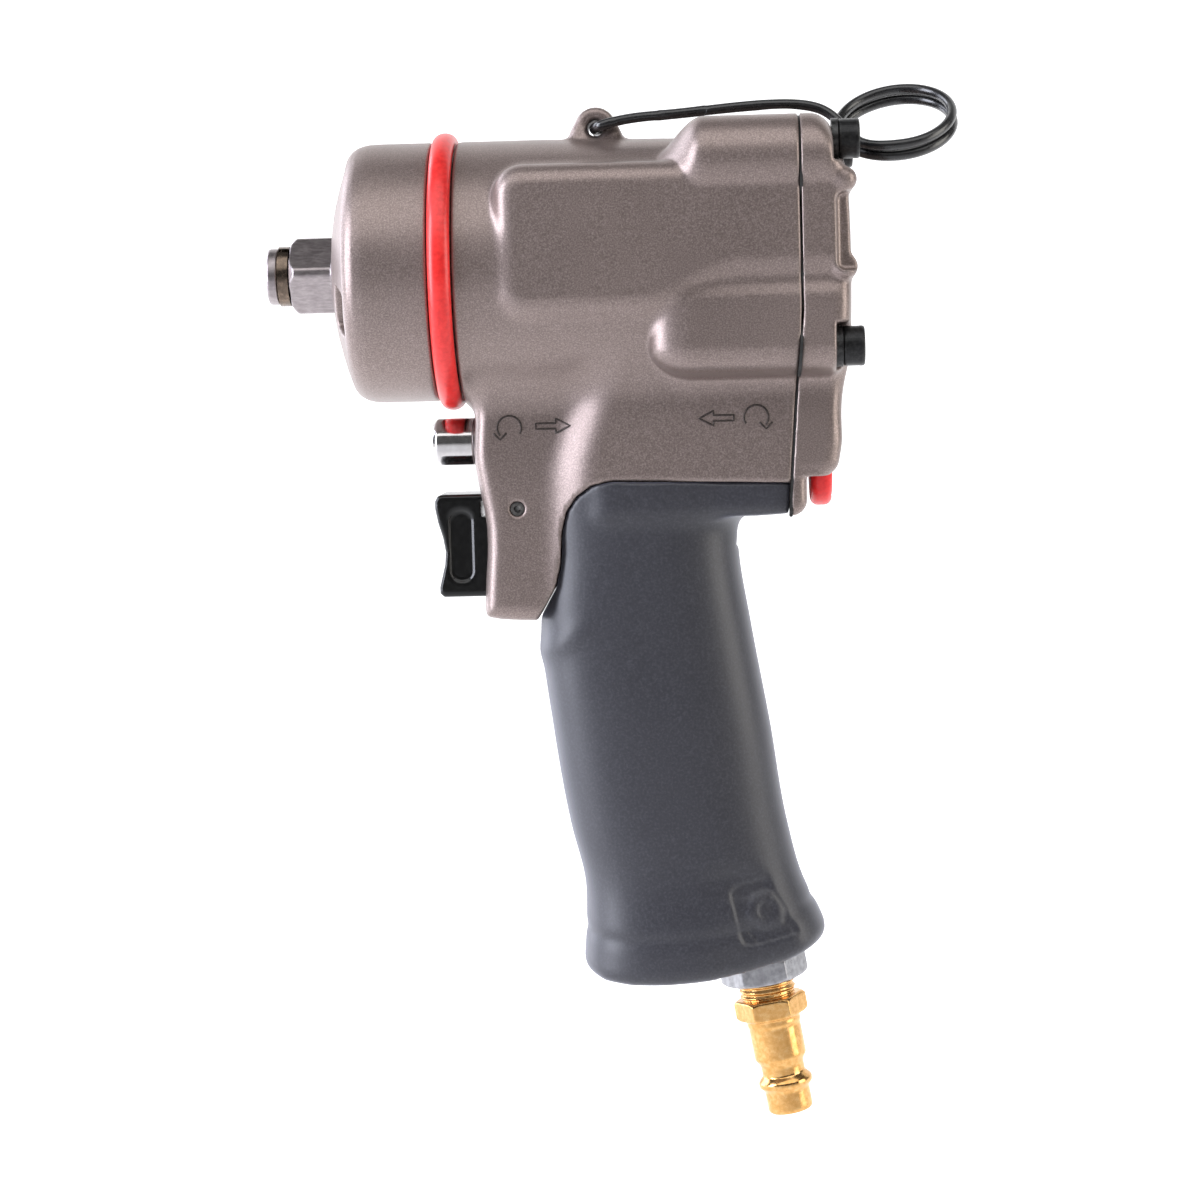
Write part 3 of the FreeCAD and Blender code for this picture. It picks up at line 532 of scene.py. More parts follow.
def outside(x, y, z):
    """Distance to the outside form: barrel, side panels, bolt bosses and neck."""
    ay = np.abs(y)
    radius = 28.0 - np.clip(x - 60.0, 0, 60) * 0.0165
    body = np.sqrt(y * y + z * z) - radius
    panel = joined(outline2(x, z, PANEL) - 6.5, ay - (28.9 - 0.9 * step_up(x, 62.0, 92.0)), 4.8)
    body = smin(body, panel, 1.6)
    rear = step_up(x, 82.5, 95.5)
    swell = 0.58 + 0.42 * rear
    low = np.sqrt((ay - 20.9 * swell) ** 2 + (z - 21.6 * swell) ** 2) - 9.0
    body = smin(body, low, 0.5)
    nose = np.clip((92.5 - x) / 9.5, 0, 1)
    side = segment2(ay, z, (21.7, -17.3), (21.7, -8.4)) - 6.15 * np.sqrt(1 - nose ** 2)
    body = smin(body, side + np.maximum(83.2 - x, 0), 1.3)
    lean = 6.0 * step_up(z, -46.0, -20.0)
    half = 12.2 + 4.9 * step_up(x - lean, 58.5, 71.5)
    form = joined(outline2(x, z, eased(NECK_EDGE, 1)), ay - half, 3.6)
    return smin(body, form, 6.5)


def handle_form(x, y, z, inset):
    """Distance to the rounded handle, drawn in by the inset."""
    front = curve_at(z, HANDLE, 1) + inset
    rear = curve_at(z, HANDLE, 2) - inset
    half = curve_at(z, HANDLE, 3) - inset
    middle, reach = (front + rear) / 2, (rear - front) / 2
    power = 2.6
    dx = x - middle
    ratio = ((np.abs(dx) / reach) ** power + (np.abs(y) / half) ** power) ** (1 / power)
    ratio = np.maximum(ratio, 1e-3)
    ray = np.sqrt(dx * dx + y * y)
    return ray - ray / ratio


def base_z(x):
    return np.interp(x, [p[0] for p in BASE_LINE], [p[1] for p in BASE_LINE]).astype(np.float32)


def along_x(x, y, z, r, x0, x1, cy=0.0, cz=0.0):
    """Distance to a bore along X."""
    return np.maximum(np.sqrt((y - cy) ** 2 + (z - cz) ** 2) - r, np.maximum(x0 - x, x - x1))


# The inlet axis, from the nipple's mount in the record.
INLET_MOUNT = next(m for m in frame["record"]["mounts"] if m["name"] == "air_inlet")
INLET_DIR = np.array(INLET_MOUNT["axis"], dtype=float)
INLET_DIR /= np.linalg.norm(INLET_DIR)
INLET = np.array(INLET_MOUNT["pos_m"], dtype=float) / MM - INLET_DIR * 33.8


def inlet_frame(x, y, z):
    """Distance down the inlet axis, and the two offsets across it."""
    dx, dz = x - INLET[0], z - INLET[2]
    s = dx * INLET_DIR[0] + dz * INLET_DIR[2]
    across = dx * -INLET_DIR[2] + dz * INLET_DIR[0]
    return s, across, y


# ---- motor housing --------------------------------------------------------
x, y, z, place = grid((41.2, -30.6, -78.0), (116.8, 30.6, 35.6), 0.58)
body = outside(x, y, z)
body = smax(body, 42.2 - x + 0 * z, 0.9)
from_eye = np.sqrt((x - HANGER_EYE[0]) ** 2 + (z - HANGER_EYE[1]) ** 2)
lug = joined(from_eye - 4.5, np.abs(y) - 5.4, 1.3)
foot = joined(box2(x, z, HANGER_EYE[0], 26.0, 5.2, 3.6, 1.0), np.abs(y) - 5.6, 1.2)
body = smin(body, smin(lug, foot, 2.4), 2.2)
body = smax(body, (x - parting_x(z)) * 0.995, 0.25)
body = smax(body, 0.10 - outline2(x, z, GRIP_EDGE), 0.4)
ay = np.abs(y)
trigger_well = np.maximum(box2(y, z, 0.0, -59.35, 8.2, 11.55, 0.6), x - 58.6)
arm_well = np.maximum(box2(y, z, 0.0, -51.85, 5.0, 3.75, 0.4), x - 63.8)
pin_hole = np.sqrt((x - TRIGGER_PIN[0]) ** 2 + (z - TRIGGER_PIN[1]) ** 2)
mouth = pin_hole - 1.5 - 0.5 * np.clip(ay - 11.5, 0, 1.2)
bores = [
    along_x(x, y, z, 25.02, 0, 50.3), along_x(x, y, z, 23.4, 0, 61.2), along_x(x, y, z, 19.5, 0, 64.0),
    along_x(x, y, z, 22.6, 63.2, 200.0), along_x(x, y, z, 5.35, 0, 200.0, 0.0, SPOOL_Z),
    along_x(x, y, z, 7.0, 50.0, 89.0, 0.0, STEM_Z), trigger_well, arm_well]
hollow = bores[0]
for bore in bores[1:]:
    hollow = np.minimum(hollow, bore)
body = smax(body, -hollow, 0.5)
body = smax(body, -mouth, 0.35)
eye = from_eye - 1.75 - 0.5 * np.clip(ay - 4.6, 0, 1.0)
body = smax(body, -eye, 0.35)
for side in (-1, 1):
    for by, bz in (UPPER_BOLT, LOWER_BOLT):
        body = smax(body, -along_x(x, y, z, 2.5, 94.0, 200.0, side * by, bz), 0.3)
HOUSING = from_field("housing_shell", body, place, PAINT)
put(HOUSING, "tool", "case_paint", "motor_housing")
del body, bores, hollow

# The handle's inner core, seen only round the exhaust and inlet.
x, y, z, place = grid((58.0, -18.0, -156.5), (118.0, 18.0, -42.6), 0.95)
core = smax(handle_form(x, y, z, 3.25), base_z(x) + 1.0 - z, 1.0)
core = np.maximum(core, outline2(x, z, GRIP_EDGE) - 1.3)
s, across, sideways = inlet_frame(x, y, z)
reach = np.sqrt(across * across + sideways * sideways)
core = np.maximum(core, -np.maximum(reach - 7.7, np.maximum(-15 - s, s - 12)))
core = np.maximum(core, -np.maximum(reach - 5.0, np.maximum(-93 - s, s - 2)))
down = (-84.0 - z) / 74.0
cone = np.sqrt((x - 72.2 - 6.1 * down) ** 2 + y * y) - (6.2 + 2.8 * down)
core = np.maximum(core, -np.maximum(cone, z + 84.0))
core = np.maximum(core, -along_x(x, y, z, 7.0, 50.0, 89.0, 0.0, STEM_Z))
core = np.maximum(core, -np.maximum(box2(y, z, 0.0, -51.85, 5.4, 4.2, 0.4), x - 65.0))
core = np.maximum(core, -np.maximum(box2(y, z, 0.0, -59.35, 8.6, 11.9, 0.6), x - 59.6))
put(from_field("handle_core", core, place, PAINT), "tool", "case_paint")
del core

# ---- grip sleeve ------------------------------------------------------------
x, y, z, place = grid((54.0, -20.4, -157.0), (121.0, 20.4, -44.6), 0.6)
ay = np.abs(y)
rubber = handle_form(x, y, z, 0.0)
tang = joined(box2(x, z, 95.0, -49.0, 23.5, 5.0, 1.6), ay - 16.5, 2.6)
rubber = smin(rubber, tang, 4.0)
# A flat along the rear third of each side, ending in a curve above the flare.
FLAT_EDGE = (
    [-136.0, -131.0, -127.0, -118.0, -100.0, -80.0, -60.0], [88.0, 94.5, 98.2, 99.0, 97.2, 95.2, 94.6])
edge = np.interp(z, *FLAT_EDGE).astype(np.float32)
flat = (ay - 16.75) * 0.955 + (x - edge) * 0.20
flat = flat - 3.0 * step_up(z, -66.0, -56.0) - 3.0 * (1 - step_up(z, -139.0, -131.0))
rubber = smax(rubber, flat, 0.7)
# The finger stop below the trigger housing: a soft step across the front corner.
stop = (z + 84.2) - (x - 58.0) * 0.52
rubber = rubber - 0.55 * np.exp(-((stop - 1.6) / 3.0) ** 2) * (1 - step_up(x, 63.0, 73.0))
# A soft crease round the foot of the flare.
crease = z - (base_z(x) + 9.6)
rubber = rubber + 0.35 * np.exp(-(crease / 1.5) ** 2)
rubber = smax(rubber, (base_z(x) - z) * 0.98, 3.2)
rubber = smax(rubber, outline2(x, z, GRIP_EDGE) + 0.10, 0.5)
inner = np.minimum(handle_form(x, y, z, 3.0), along_x(x, y, z, 7.2, 50.0, 95.0, 0.0, STEM_Z))
rubber = smax(rubber, -inner, 0.5)
s, across, sideways = inlet_frame(x, y, z)
reach = np.sqrt(across * across + sideways * sideways)
rubber = smax(rubber, -np.maximum(reach - 9.95, -6.0 - s), 0.6)
# The badge: a rounded square recess with a plain raised hexagon nut in it.
BADGE = (105.4, -139.2)
turn = math.radians(12.5)
bu = (x - BADGE[0]) * math.cos(turn) + (z - BADGE[1]) * math.sin(turn)
bv = (z - BADGE[1]) * math.cos(turn) - (x - BADGE[0]) * math.sin(turn)
surface = rubber.copy()
recess = joined(box2(bu, bv, 0.0, 0.0, 6.9, 6.7, 2.2), -surface - 0.55, 0.2)
recess = np.maximum(recess, 14.0 - ay)
rubber = smax(rubber, -recess, 0.35)
hexagon = np.maximum(np.abs(bv), np.abs(bu) * 0.866 + np.abs(bv) * 0.5) - 3.9
nut = np.maximum(hexagon, 2.0 - np.sqrt(bu * bu + bv * bv))
nut = np.maximum(np.maximum(nut, surface + 0.12), np.maximum(14.0 - ay, -surface - 1.4))
rubber = smin(rubber, nut, 0.25)
GRIP_SLEEVE = from_field("grip_rubber_sleeve", rubber, place, GRIP)
put(GRIP_SLEEVE, "tool", "grip_rubber", "grip_sleeve")
del rubber, surface, inner, nut, recess

# ---- hammer case ------------------------------------------------------------
CASE_FORM = [
    (14.9, 9.2), (14.9, 10.2), (15.2, 12.6), (15.9, 16.0), (16.9, 19.8), (17.9, 23.0), (18.9, 25.7),
    (19.8, 26.7), (21.2, 27.5), (23.0, 27.9), (25.0, 28.0), (36.7, 28.0), (37.0, 27.7), (37.0, 26.2),
    (42.2, 26.2), (42.2, 24.98), (49.9, 24.98), (49.9, 23.3), (29.0, 23.3), (26.0, 20.0), (26.0, 14.0),
    (30.0, 14.0), (30.0, 10.45), (16.2, 10.45), (16.2, 9.2)]


def outline_solid(u, v, points):
    """Signed distance to a closed outline for any pair of arrays."""
    best = np.full(np.broadcast(u, v).shape, 1e9, dtype=np.float32)
    inside = np.zeros(best.shape, dtype=bool)
    for k, (ax, az) in enumerate(points):
        bx, bz = points[(k + 1) % len(points)]
        ex, ez = bx - ax, bz - az
        t = np.clip(((u - ax) * ex + (v - az) * ez) / (ex * ex + ez * ez), 0, 1)
        best = np.minimum(best, (u - ax - ex * t) ** 2 + (v - az - ez * t) ** 2)
        if az != bz:
            inside ^= ((az > v) != (bz > v)) & (u < ex * (v - az) / ez + ax)
    return np.sqrt(best) * np.where(inside, -1, 1)


x, y, z, place = grid((13.0, -29.0, -29.0), (51.0, 29.0, 29.0), 0.5)
radial = np.sqrt(y * y + z * z)
case = outline_solid(x + 0 * radial, radial + 0 * x, CASE_FORM)
for k in range(4):
    a = math.radians(22 + 90 * k)
    out = z * math.cos(a) - y * math.sin(a)
    along = z * math.sin(a) + y * math.cos(a)
    slot = joined(box2(x, out, 16.4, 20.9, 4.0, 3.6, 0.8), np.abs(along) - 4.7, 1.1)
    case = smax(case, -slot, 0.35)
put(from_field("hammer_case_casting", case, place, PAINT), "tool", "case_paint", "hammer_case")
del case, radial, slot

# ---- rear cover -------------------------------------------------------------
x, y, z, place = grid((111.6, -30.4, -55.6), (127.2, 30.4, 31.6), 0.42)
ay = np.abs(y)
radial = np.sqrt(y * y + z * z)
REAR_EDGE = ([-54.4, -46.8, -44.6, -38.0, -27.0, -20.0, 18.0, 24.0, 31.0],
             [121.4, 122.2, 122.6, 123.8, 125.2, 126.25, 126.25, 125.2, 122.9])
rear_x = np.interp(z, *REAR_EDGE).astype(np.float32)
cover = outside(x, y, z)
# The cover's lower half is a straight-sided skirt; below the bay it steps in, leaving the paddle bare.
skirt = joined(box2(x, z, 112.0, -27.0, 20.0, 18.6, 0.7), ay - 17.05, 3.0)
tail = joined(box2(x, z, 105.9, -44.2, 10.0, 9.9, 3.4), ay - 17.05, 2.2)
cover = smin(np.maximum(cover, -45.6 - z + 0 * x), skirt, 0.8)
cover = smin(cover, tail, 0.5)
# A shallow domed rear face with rounded rims.
dome = x - rear_x + 0.9 * np.clip((radial - 12.0) / 16.0, 0, 2) ** 2 * step_up(z, -40.0, -24.0)
cover = smax(cover, dome, 3.4)
cover = smax(cover, parting_x(z) + 0.36 - x, 0.25)
face_ring = np.maximum(np.abs(radial - 15.6) - 0.75, 124.9 - x)
cover = smax(cover, -face_ring, 0.5)
for bz in (16.4, -1.6):
    knob = np.sqrt((x - 124.6) ** 2 + (z - bz) ** 2 + np.maximum(np.abs(ay - 22.5) - 3.6, 0) ** 2) - 2.6
    cover = smin(cover, knob, 1.2)
hub = np.maximum(radial - 6.0, 125.5 - x)
cover = smax(cover, -hub, 0.5)
for side in (-1, 1):
    for (by, bz), r in ((UPPER_BOLT, 4.95), (LOWER_BOLT, 4.95)):
        dy = y - side * by
        pocket = segment2(dy, z, (0.0, bz), (side * 14.0, bz)) - r
        cover = smax(cover, -np.maximum(pocket, 122.4 - x), 0.7)
        cover = smax(cover, -(np.sqrt(dy * dy + (z - bz) ** 2) - 2.6), 0.3)
    slot = box2(x, z, 131.0, 5.7, 8.1, 8.1, 1.6)
    pocket = joined(slot, 24.4 - side * y, 1.2)
    cover = smax(cover, -pocket, 0.8)
for spoke in range(3):
    a = math.radians(90 + 120 * spoke)
    across = np.abs(y * math.sin(a) - z * math.cos(a))
    outward = y * math.cos(a) + z * math.sin(a)
    groove = np.maximum(across - 1.1, np.maximum(np.maximum(8.6 - outward, outward - 14.0), 125.35 - x))
    cover = smax(cover, -groove, 0.5)
paddle_bay = np.maximum(ay - 11.4, z + 24.6)
cover = smax(cover, -(paddle_bay + 0 * x), 0.5)
recess = np.maximum(np.maximum(radial - 21.0, 9.0 - radial), x - 122.0)
cover = smax(cover, -recess, 0.5)
put(from_field("rear_cover_casting", cover, place, PAINT), "tool", "case_paint", "rear_cover")
del cover, radial, dome, pocket

# ---- anvil ----------------------------------------------------------------------
ANVIL_FORM = [
    (0.0, 0.0), (0.0, 5.45), (0.12, 5.8), (0.5, 6.08), (2.15, 6.08), (2.3, 5.9), (2.3, 4.0), (5.0, 4.0),
    (5.0, 5.9), (14.6, 5.9), (14.6, 8.68), (30.05, 8.68), (30.05, 11.38), (35.5, 11.38), (35.5, 7.38),
    (55.45, 7.38), (55.45, 0.0)]
x, y, z, place = grid((-0.6, -12.0, -12.0), (56.2, 12.0, 12.0), 0.26)
radial = np.sqrt(y * y + z * z)
anvil = outline_solid(x + 0 * radial, radial + 0 * x, ANVIL_FORM)
a = math.radians(41)
su = y * math.cos(a) + z * math.sin(a)
sv = z * math.cos(a) - y * math.sin(a)
square = joined(box2(su, sv, 0.0, 0.0, 6.35, 6.35, 0.35), np.abs(x - 10.0) - 4.95, 0.3)
square = smax(square, radial - 6.75 - (x - 5.05) * 1.15, 0.35)
square = smax(square, radial - 8.2, 0.3)
anvil = smin(anvil, square, 0.3)
for (wx0, wx1), way in (((36.0, 45.2), 1), ((46.2, 55.4), -1)):
    length = np.abs(x - (wx0 + wx1) / 2) - (wx1 - wx0) / 2
    wing = joined(box2(way * y, z, 5.4, 0.0, 5.4, 3.2, 0.6), length, 0.3)
    anvil = np.minimum(anvil, np.maximum(wing, radial - 10.75))
put(from_field("anvil_drive", anvil, place, STEEL), "anvil_group", "steel", "anvil")
del anvil, radial, square, wing

# ---- bumper ring --------------------------------------------------------------
ring_low, ring_high = node_box("bumper_ring")
middle, rim = (ring_low[0] + ring_high[0]) / 2, ring_high[2]
section = []
for k in range(17):
    a = math.pi * k / 16
    along = middle - 2.4 * math.cos(a) * (0.92 + 0.08 * abs(math.cos(a)))
    section.append((along, rim - 1.75 + 1.75 * math.sin(a)))
section += [(middle + 2.3, 26.9), (middle + 2.0, 26.3), (middle - 2.0, 26.3), (middle - 2.3, 26.9)]
put(lathe("bumper_ring_rubber", section, RED, 192), "tool", "red_rubber", "bumper_ring")

# ---- trigger --------------------------------------------------------------------
TRIGGER_SIDE = [
    (36.9, -48.15), (36.0, -48.5), (35.4, -49.6), (35.35, -51.0), (35.9, -54.0), (36.9, -57.4),
    (37.45, -60.6), (37.2, -63.4), (36.5, -66.2), (35.95, -68.4), (36.0, -69.7), (36.9, -70.5),
    (51.3, -70.5), (51.3, -55.5), (56.8, -55.5), (56.8, -48.5), (51.3, -48.5), (51.3, -48.15)]
x, y, z, place = grid((34.2, -9.0, -71.8), (58.0, 9.0, -47.0), 0.3)
ay = np.abs(y)
trigger = joined(outline2(x, z, TRIGGER_SIDE), ay - 7.95, 1.0)
scoop = joined(box2(x, z, 41.0, -59.4, 2.2, 7.4, 2.0), 7.45 - ay, 0.2)
trigger = smax(trigger, -scoop, 1.3)
trigger = np.maximum(trigger, np.where(x > 51.3, ay - 4.8, -9.0))
trigger = np.maximum(trigger, -box2(x, z, 50.35, -51.4, 4.95, 1.72, 0.3))
trigger = np.maximum(trigger, -along_x(x, y, z, 2.02, 45.0, 60.0, 0.0, STEM_Z))
put(from_field("trigger_moulding", trigger, place, TRIGGER_BLACK), "trigger_group", "trigger_plastic",
    "trigger")

# ---- reverse button and paddle ------------------------------------------------
(ux0, _, uz0), (ux1, _, uz1) = node_box("reverse_button")
r = (uz1 - uz0) / 2
button = [
    (ux0, 0.0), (ux0, r - 1.9), (ux0 + 0.35, r - 1.2), (ux0 + 1.5, r - 0.02), (ux1, r - 0.02), (ux1, 0.0)]
button = rounded(button, 0.45, 4)
put(lathe("reverse_button_pin", button, CHROME, 128, (0, 0, (uz0 + uz1) / 2)), "reverse_group", "chrome",
    "reverse_button")
edge_split_normals(bpy.data.objects["reverse_button_pin"], 40)

x, y, z, place = grid((116.4, -11.6, -53.4), (122.6, 11.6, -25.8), 0.3)
paddle = joined(smin(np.sqrt(y * y + (z + 41.9) ** 2) - 10.8, np.sqrt(y * y + (z + 34.0) ** 2) - 7.4, 2.5),
                np.abs(x - 119.3) - 2.35, 1.7)
paddle = smax(paddle, -along_x(x, y, z, 1.62, 100, 130, 0.0, SPOOL_Z), 0.2)
paddle = smax(paddle, -along_x(x, y, z, 3.05, 119.6, 130, 0.0, SPOOL_Z), 0.3)
for gz in (-46.2, -48.2, -50.2):
    rib_gap = np.sqrt((x - 122.3) ** 2 + (z - gz) ** 2 + np.maximum(np.abs(y) - 4.6, 0) ** 2) - 0.75
    paddle = smax(paddle, -rib_gap, 0.3)
put(from_field("reverse_paddle_moulding", paddle, place, RED_PLASTIC), "reverse_group", "red_plastic",
    "reverse_paddle")

# ---- cover screws -----------------------------------------------------------------
(sx0, _, _), (sx1, _, _) = node_box("cover_screws")
HEAD, HEAD_R, SHANK_R = 4.6, 4.24, 2.45


def cap_screw(label, by, bz):
    """One socket-head screw: a knurled head with a hexagon socket, and its plain shank."""
    x, y, z, place = grid((sx1 - HEAD - 1.0, -4.8, -4.8), (sx1 + 0.6, 4.8, 4.8), 0.24)
    radial = np.sqrt(y * y + z * z)
    head = joined(radial - HEAD_R, np.abs(x - (sx1 - HEAD / 2)) - HEAD / 2, 0.55)
    knurl = 0.09 * np.abs(np.sin(np.arctan2(z, y) * 24)) * np.clip(sx1 - 0.9 - x, 0, 0.4) / 0.4
    head = head + knurl
    hexagon = np.maximum(np.abs(z), np.abs(y) * 0.866 + np.abs(z) * 0.5) - 2.0
    head = smax(head, -np.maximum(hexagon, sx1 - 2.6 - x), 0.25)
    head = smax(head, -(radial - 2.0 - (x - sx1 + 0.5)), 0.2)
    head = np.minimum(head, np.maximum(radial - SHANK_R, x - (sx1 - HEAD + 0.3)))
    place = (place[0] + np.array([0.0, by, bz]), place[1])
    head = from_field("cap_screw_" + label, head, place, BLACK_STEEL)
    shank = [(sx0, 0.0), (sx0, SHANK_R), (sx1 - HEAD, SHANK_R), (sx1 - HEAD, 0.0)]
    shank = lathe("shank_" + label, rounded(shank, 0.4), BLACK_STEEL, 40, (0, by, bz))
    return head, shank


# The first head stands for the whole CAD group of screws.
stands_for = ["cover_screws"]
for side, word in ((-1, "near"), (1, "far")):
    for level, (by, bz) in (("upper", UPPER_BOLT), ("lower", LOWER_BOLT)):
        head, shank = cap_screw(level + "_" + word, side * by, bz)
        put(head, "tool", "black_steel", *stands_for)
        put(shank, "tool", "black_steel")
        stands_for = []

# ---- inlet hexagon and air nipple -----------------------------------------------------
def set_on_inlet(obj):
    """Turn a piece built round its own Z axis onto the inlet axis."""
    across = Vector((-INLET_DIR[2], 0.0, INLET_DIR[0]))
    down = Vector(INLET_DIR)
    start = Vector(INLET)
    for vertex in obj.data.vertices:
        p = vertex.co / MM
        vertex.co = (start + across * p.x + Vector((0, 1, 0)) * p.y + down * p.z) * MM
    obj.data.flip_normals()
    obj.data.update()
    return obj


def hexagon_field(x, y, flats):
    """Distance to a hexagon with a corner towards +X."""
    return np.maximum(np.abs(y), np.abs(x) * 0.8660254 + np.abs(y) * 0.5) - flats / 2


x, y, z, place = grid((-10.6, -10.6, -14.6), (10.6, 10.6, 7.0), 0.36)
radial = np.sqrt(x * x + y * y)
collar = smax(hexagon_field(x, y, 17.0), np.abs(z - 3.5) - 2.9, 0.35)
collar = smax(collar, radial - 8.3 - (z - 0.6) * 1.5, 0.25)
collar = smax(collar, radial - 8.75 - (6.4 - z) * 1.5, 0.3)
collar = np.minimum(collar, np.maximum(radial - 7.5, np.abs(z + 6.6) - 7.35))
bore = np.minimum(np.maximum(radial - 6.42, np.abs(z - 2.0) - 6.0), radial - 4.4)
collar = smax(collar, -bore, 0.3)
put(set_on_inlet(from_field("inlet_hexagon", collar, place, ZINC)), "tool", "zinc", "inlet_bushing")

x, y, z, place = grid((-8.6, -8.6, -4.4), (8.6, 8.6, 37.0), 0.26)
radial = np.sqrt(x * x + y * y)
angle = np.arctan2(y, x)
wave = np.mod(z / 1.34 - angle / (2 * math.pi), 1.0)
thread = 6.32 - 0.62 * np.abs(wave * 2 - 1) ** 1.2
thread = np.where(z < 6.0, 6.3, thread)
male = smax(radial - thread, np.abs(z - 3.1) - 6.6, 0.3)
male = np.minimum(male, np.maximum(radial - 5.75, np.abs(z - 9.8) - 1.0))
spanner = smax(hexagon_field(x, y, 14.0), np.abs(z - 12.5) - 2.3, 0.5)
spanner = smax(spanner, radial - 7.35 - (z - 10.2) * 1.3, 0.4)
spanner = smax(spanner, radial - 7.35 - (14.8 - z) * 1.3, 0.4)
SHANK = [
    (14.0, 0.0), (14.0, 5.95), (16.3, 5.95), (16.7, 5.75), (23.9, 5.75), (25.1, 5.0), (25.9, 4.75),
    (27.9, 4.75), (28.7, 5.5), (29.3, 5.95), (30.2, 5.95), (30.9, 5.35), (31.5, 4.95), (35.8, 4.95),
    (36.35, 4.5), (36.35, 0.0)]
shank = outline_solid(z + 0 * radial, radial + 0 * z, SHANK)
nipple = smin(np.minimum(male, spanner), shank - 0.05, 0.35)
nipple = smax(nipple, -(radial - 3.3 - 0.35 * np.clip(z - 35.7, 0, 1)), 0.3)
put(set_on_inlet(from_field("air_nipple_turned", nipple, place, BRASS)), "tool", "brass", "air_nipple")
del nipple, radial, male, spanner, shank

# ---- direction marks on the neck ---------------------------------------------------------
points = [v.co.copy() for v in HOUSING.data.vertices]
skin = BVHTree.FromPolygons(points, [tuple(f.vertices) for f in HOUSING.data.polygons])


# A ridge's section: shares of its width, and of its height.
RIDGE = ((-0.5, -0.4), (-0.5, 0.5), (-0.28, 1.0), (0.28, 1.0), (0.5, 0.5), (0.5, -0.4))


def raised_mark(name, side, strokes, width=0.42, height=0.14):
    """Raised outline strokes lying on the housing's side, coloured dark as painted shade; points are (x, z)
    in mm.
    """
    verts, faces = [], []
    for stroke in strokes:
        path = []
        for (ax, az), (bx, bz) in zip(stroke[:-1], stroke[1:]):
            steps = max(1, int(math.hypot(bx - ax, bz - az) / 0.5))
            path += [(ax + (bx - ax) * k / steps, az + (bz - az) * k / steps) for k in range(steps)]
        closed = stroke[0] == stroke[-1]
        if not closed:
            path.append(stroke[-1])
        rows = []
        n = len(path)
        for k, (px, pz) in enumerate(path):
            qx, qz = path[(k + 1) % n] if closed or k + 1 < n else path[k]
            rx, rz = path[k - 1] if closed or k > 0 else path[k]
            tx, tz = qx - rx, qz - rz
            size = math.hypot(tx, tz) or 1
            nx, nz = -tz / size, tx / size
            row = []
            for share, lift in RIDGE:
                cx, cz = px + nx * width * share, pz + nz * width * share
                hit = skin.ray_cast(Vector((cx * MM, side * 0.05, cz * MM)), Vector((0, -side, 0)))[0]
                cy = hit.y / MM + side * height * lift
                row.append(len(verts))
                verts.append((cx * MM, cy * MM, cz * MM))
            rows.append(row)
        pairs = list(zip(rows, rows[1:] + rows[:1])) if closed else list(zip(rows[:-1], rows[1:]))
        for a, b in pairs:
            for j in range(6):
                i = (j + 1) % 6
                faces.append((a[j], a[i], b[i], b[j]))
        if not closed:
            faces.append(tuple(rows[0]))
            faces.append(tuple(reversed(rows[-1])))
    obj = new_object(name, verts, faces, MARK_SHADE)
    bm = bmesh.new()
    bm.from_mesh(obj.data)
    bmesh.ops.recalc_face_normals(bm, faces=bm.faces)
    bm.to_mesh(obj.data)
    bm.free()
    return put(obj, "tool", "case_paint")


def arrow(cx, cz, length, way):
    """A plain outlined arrow along X."""
    tip, tail = cx + way * length / 2, cx - way * length / 2
    neck = tip - way * length * 0.42
    return [[(tip, cz), (neck, cz + 1.6), (neck, cz + 0.6), (tail, cz + 0.6), (tail, cz - 0.6),
             (neck, cz - 0.6), (neck, cz - 1.6), (tip, cz)]]


def turn_mark(cx, cz, way):
    """An open circular arrow that stands for a direction of rotation."""
    circle = []
    for k in range(17):
        a = math.radians(210 - 15.5 * k) if way > 0 else math.radians(-30 + 15.5 * k)
        circle.append((cx + 2.6 * math.cos(a), cz + 2.6 * math.sin(a)))
    ex, ez = circle[-1]
    return [circle, [(ex - 1.4, ez + 0.5), (ex, ez - 0.9), (ex + 1.4, ez + 0.5)]]


for side, word in ((-1, "near"), (1, "far")):
    raised_mark("reverse_arrow_%s" % word, side, arrow(61.8, -33.7, 7.4, 1))
    raised_mark("forward_arrow_%s" % word, side, arrow(96.9, -32.8, 7.4, -1))
    raised_mark("reverse_turn_%s" % word, side, turn_mark(52.4, -33.9, -1))
    raised_mark("forward_turn_%s" % word, side, turn_mark(105.4, -32.8, 1))

# ---- camera, light and floor --------------------------------------------------------------
CAMERA_AT = Vector((0.0957, -0.6566, -0.0173))
PITCH, YAW, ROLL = (math.radians(a) for a in (4.8, -2.2, 1.5))
ahead = Vector((math.sin(YAW) * math.cos(PITCH), math.cos(YAW) * math.cos(PITCH), -math.sin(PITCH)))
right = ahead.cross(Vector((0, 0, 1))).normalized()
upward = right.cross(ahead)
level, plumb = right, upward
right = level * math.cos(ROLL) - plumb * math.sin(ROLL)
upward = level * math.sin(ROLL) + plumb * math.cos(ROLL)
lens = bpy.data.cameras.new("camera")
lens.lens = 90.0
lens.sensor_width = 36.0
lens.clip_start = 0.01
camera = bpy.data.objects.new("camera", lens)
bpy.context.scene.collection.objects.link(camera)
camera.matrix_world = Matrix((
    (right.x, upward.x, -ahead.x, CAMERA_AT.x),
    (right.y, upward.y, -ahead.y, CAMERA_AT.y),
    (right.z, upward.z, -ahead.z, CAMERA_AT.z),
    (0, 0, 0, 1)))
bpy.context.scene.camera = camera
bpy.context.scene.view_settings.view_transform = "Standard"

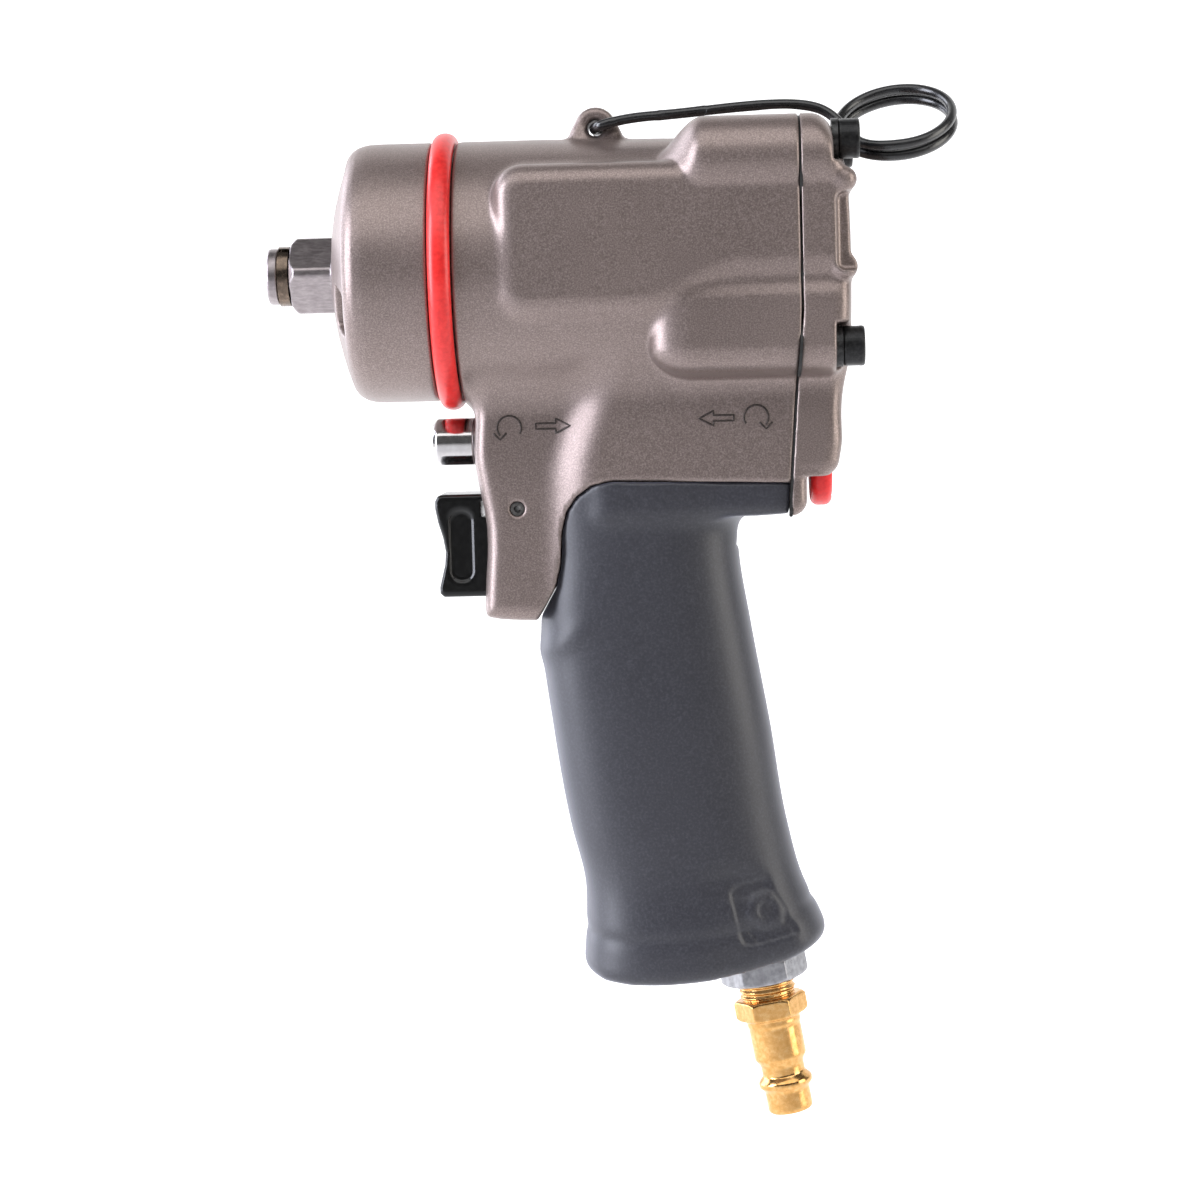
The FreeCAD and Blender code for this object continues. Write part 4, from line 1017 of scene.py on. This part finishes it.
FLOOR_Z = -0.24
PROFILE = [(-3.0, FLOOR_Z), (0.9, FLOOR_Z)]
for k in range(1, 13):
    a = math.pi / 2 * k / 12
    PROFILE.append((0.9 + 0.9 * math.sin(a), FLOOR_Z + 0.9 - 0.9 * math.cos(a)))
PROFILE.append((1.8, 3.2))
floor_points = [(u, v, w) for u in (-3.5, 3.5) for v, w in PROFILE]
count = len(PROFILE)
floor_faces = [(k, k + 1, count + k + 1, count + k) for k in range(count - 1)]
BACKDROP, tree, shader = finish_nodes("pale_backdrop")
shader.inputs["Roughness"].default_value = 0.9
tone = ramp(tree, noise(tree, 3.0), [(0.3, (0.70, 0.70, 0.70)), (0.7, (0.72, 0.72, 0.72))])
tree.links.new(tone, shader.inputs["Base Color"])
where = tree.nodes.new("ShaderNodeTexCoord")
split = tree.nodes.new("ShaderNodeSeparateXYZ")
tree.links.new(where.outputs["Object"], split.inputs["Vector"])
glow = ramp(tree, span(tree, split.outputs["Y"], 0.0, 1.0, -0.25, 0.12), [(0.0, (0, 0, 0)), (1.0, (1, 1, 1))])
tree.links.new(glow, shader.inputs["Emission Color"])
shader.inputs["Emission Strength"].default_value = 0.85
floor = new_object("floor", floor_points, floor_faces, BACKDROP)


def softbox(name, at, towards, width, height, power, tint=(1, 1, 1)):
    light = bpy.data.lights.new(name, "AREA")
    light.shape = "RECTANGLE"
    light.size, light.size_y = width, height
    light.energy = power
    light.color = tint
    obj = bpy.data.objects.new(name, light)
    bpy.context.scene.collection.objects.link(obj)
    obj.location = at
    obj.rotation_euler = (Vector(towards) - Vector(at)).to_track_quat("-Z", "Y").to_euler()
    return obj


MID = (0.075, 0.0, -0.07)
softbox("left_box", (-0.95, -0.34, 0.10), MID, 0.45, 1.2, 21.0, (0.86, 0.89, 1.0))
softbox("back_left_box", (-0.75, 0.48, 0.12), MID, 0.6, 1.2, 10.0, (0.84, 0.87, 1.0))
softbox("right_box", (1.10, -0.30, 0.05), MID, 0.55, 1.3, 8.8, (1.0, 0.97, 0.91))
softbox("top_box", (0.05, -0.60, 0.85), MID, 1.7, 0.9, 8.5)

world = bpy.data.worlds.new("studio")
bpy.context.scene.world = world
world.use_nodes = True
world.node_tree.nodes["Background"].inputs["Color"].default_value = (1, 1, 1, 1)
world.node_tree.nodes["Background"].inputs["Strength"].default_value = 0.12
